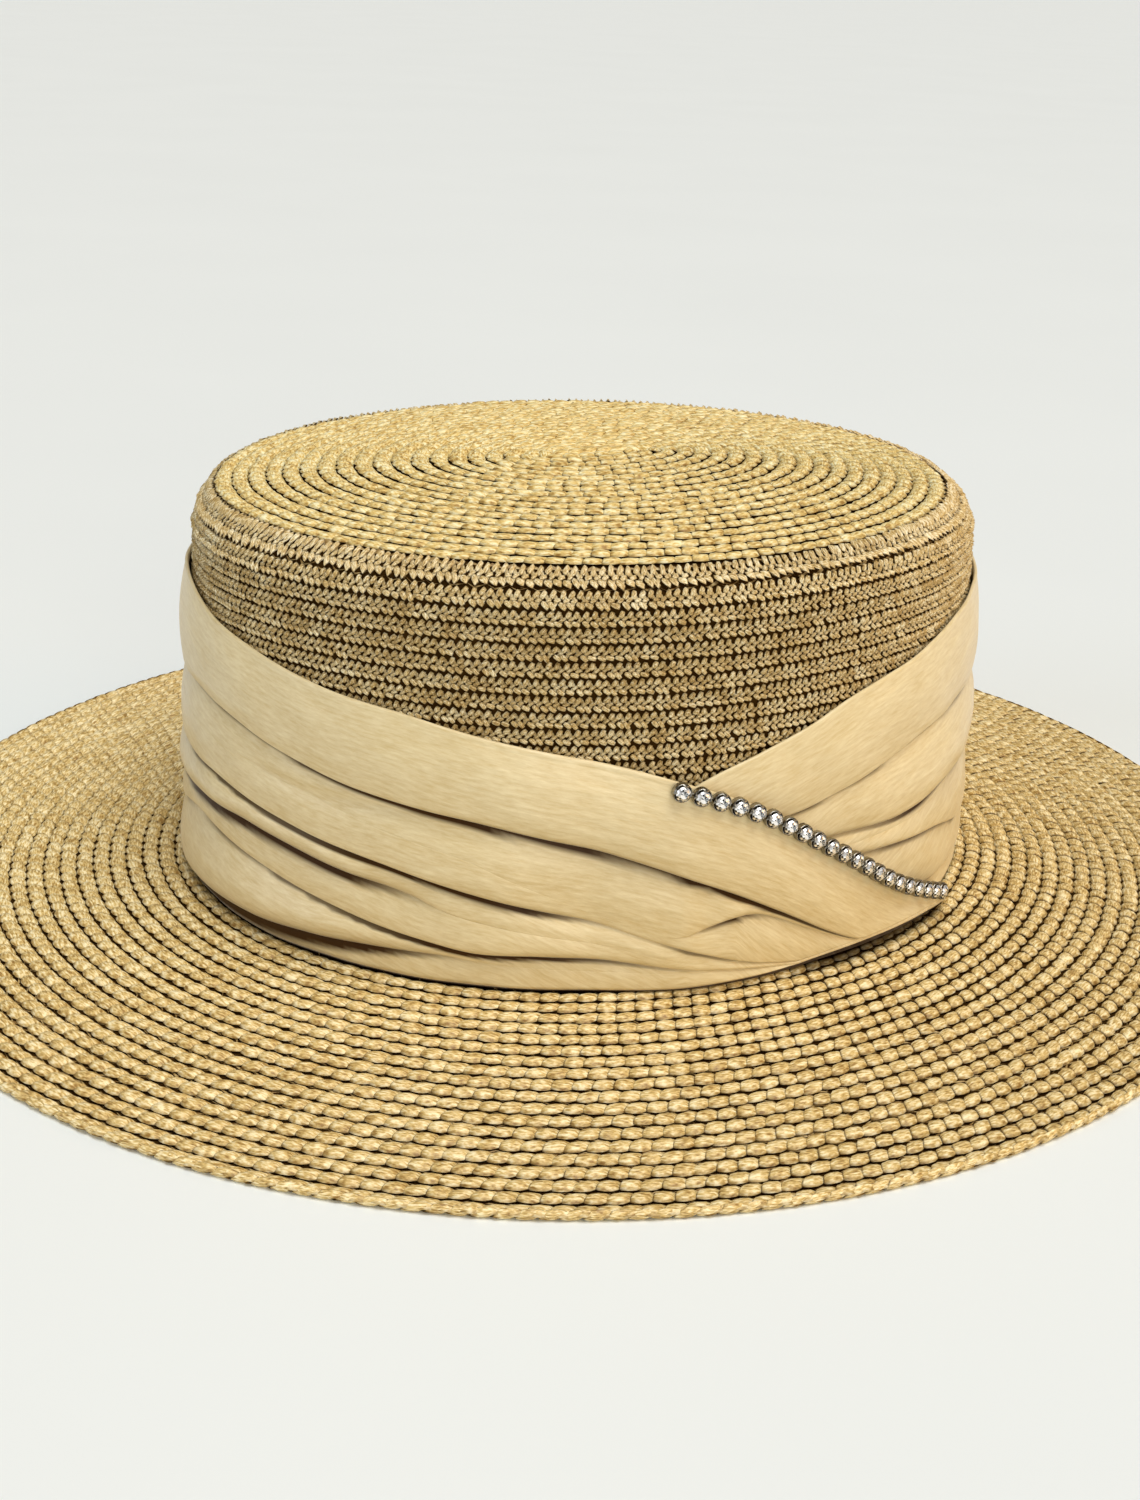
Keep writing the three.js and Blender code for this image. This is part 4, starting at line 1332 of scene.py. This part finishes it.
# %% Table
TABLE = 40000.0  # half its width, so that its far edge stays above the picture
WHITES = [(0.0, "E8EEEE"), (1.0, "ECF2F2")]
MOTTLE = 200.0  # size of its faint patches
corners = [(-TABLE, -TABLE, 0), (TABLE, -TABLE, 0), (TABLE, TABLE, 0), (-TABLE, TABLE, 0)]
table_top = put("table_top", new_mesh("table_top", corners, faces=[(0, 1, 2, 3)], smooth=False))
white_table, tree, shader = new_material("white_table")
at = add(tree, "ShaderNodeTexCoord").outputs["Object"]
mottle = add(tree, "ShaderNodeTexNoise", {"Vector": at, "Scale": 1 / (MOTTLE * MM)})
white = add(tree, "ShaderNodeValToRGB", {"Fac": mottle}, WHITES)
fill(tree, shader, {"Base Color": white, "Roughness": 0.55})
table_top.data.materials.append(white_table)
print("table:", 2 * TABLE * MM, "m wide")

# %% Light
LIGHTS = [  # name, where it comes from, strength, width in degrees, colour
    ("overhead", (0.1, -0.25, 0.95), 2.22, 40, "FFFDFA"),
    ("left", (-1.3, 0.1, 0.55), 0.54, 32, "E6EFFF"),
    ("right", (1.2, -0.7, 0.45), 0.73, 32, "FFC98A"),
    ("front", (-0.25, -1.3, 0.41), 0.98, 32, "FFF3E0"),
]
ROOM_COLOUR, ROOM_STRENGTH = "F4F3F0", 0.2
for name, come_from, strength, wide, colour in LIGHTS:
    sun = bpy.data.lights.new(name, "SUN")
    sun.energy, sun.angle, sun.color = strength, math.radians(wide), srgb(colour)[:3]
    lamp = put(name, sun)
    lamp.rotation_euler = (-Vector(come_from)).to_track_quat("-Z", "Y").to_euler()
world = bpy.data.worlds.new("pale_room")
world.use_nodes = True
room = {"Color": srgb(ROOM_COLOUR), "Strength": ROOM_STRENGTH}
fill(world.node_tree, world.node_tree.nodes["Background"], room)
scene.world = world
scene.view_settings.view_transform = "Standard"
print("lights:", [light[0] for light in LIGHTS])

# %% Camera
PICTURE_HEIGHT = 1500  # pixels
FOCAL_PIXELS = 1926.5
CAMERA_DISTANCE, CAMERA_TURN, CAMERA_HEIGHT = 450.9, 0.4742, 210.65  # mm, radians, mm
YAW, PITCH_DOWN, ROLL = 0.4689, 0.3924, 0.0404  # radians
camera_data = bpy.data.cameras.new("camera")
camera_data.lens = FOCAL_PIXELS / PICTURE_HEIGHT * camera_data.sensor_width
camera_data.clip_start, camera_data.clip_end = 0.01, 200.0
camera = put("camera", camera_data)
level_forward = Vector((math.sin(YAW), math.cos(YAW), 0))
forward = level_forward * math.cos(PITCH_DOWN) - Vector((0, 0, math.sin(PITCH_DOWN)))
right = Vector((math.cos(YAW), -math.sin(YAW), 0))
up = right.cross(forward)
rolled_right = right * math.cos(ROLL) + up * math.sin(ROLL)
rolled_up = up * math.cos(ROLL) - right * math.sin(ROLL)
out_from_middle = Vector((-math.sin(CAMERA_TURN), -math.cos(CAMERA_TURN), 0))
stand_at = out_from_middle * CAMERA_DISTANCE + Vector((0, 0, CAMERA_HEIGHT))
looking = Matrix((rolled_right, rolled_up, -forward)).transposed().to_4x4()
camera.matrix_world = Matrix.Translation(stand_at * MM) @ looking
scene.camera = camera
print("camera at", [round(x) for x in stand_at], "mm")
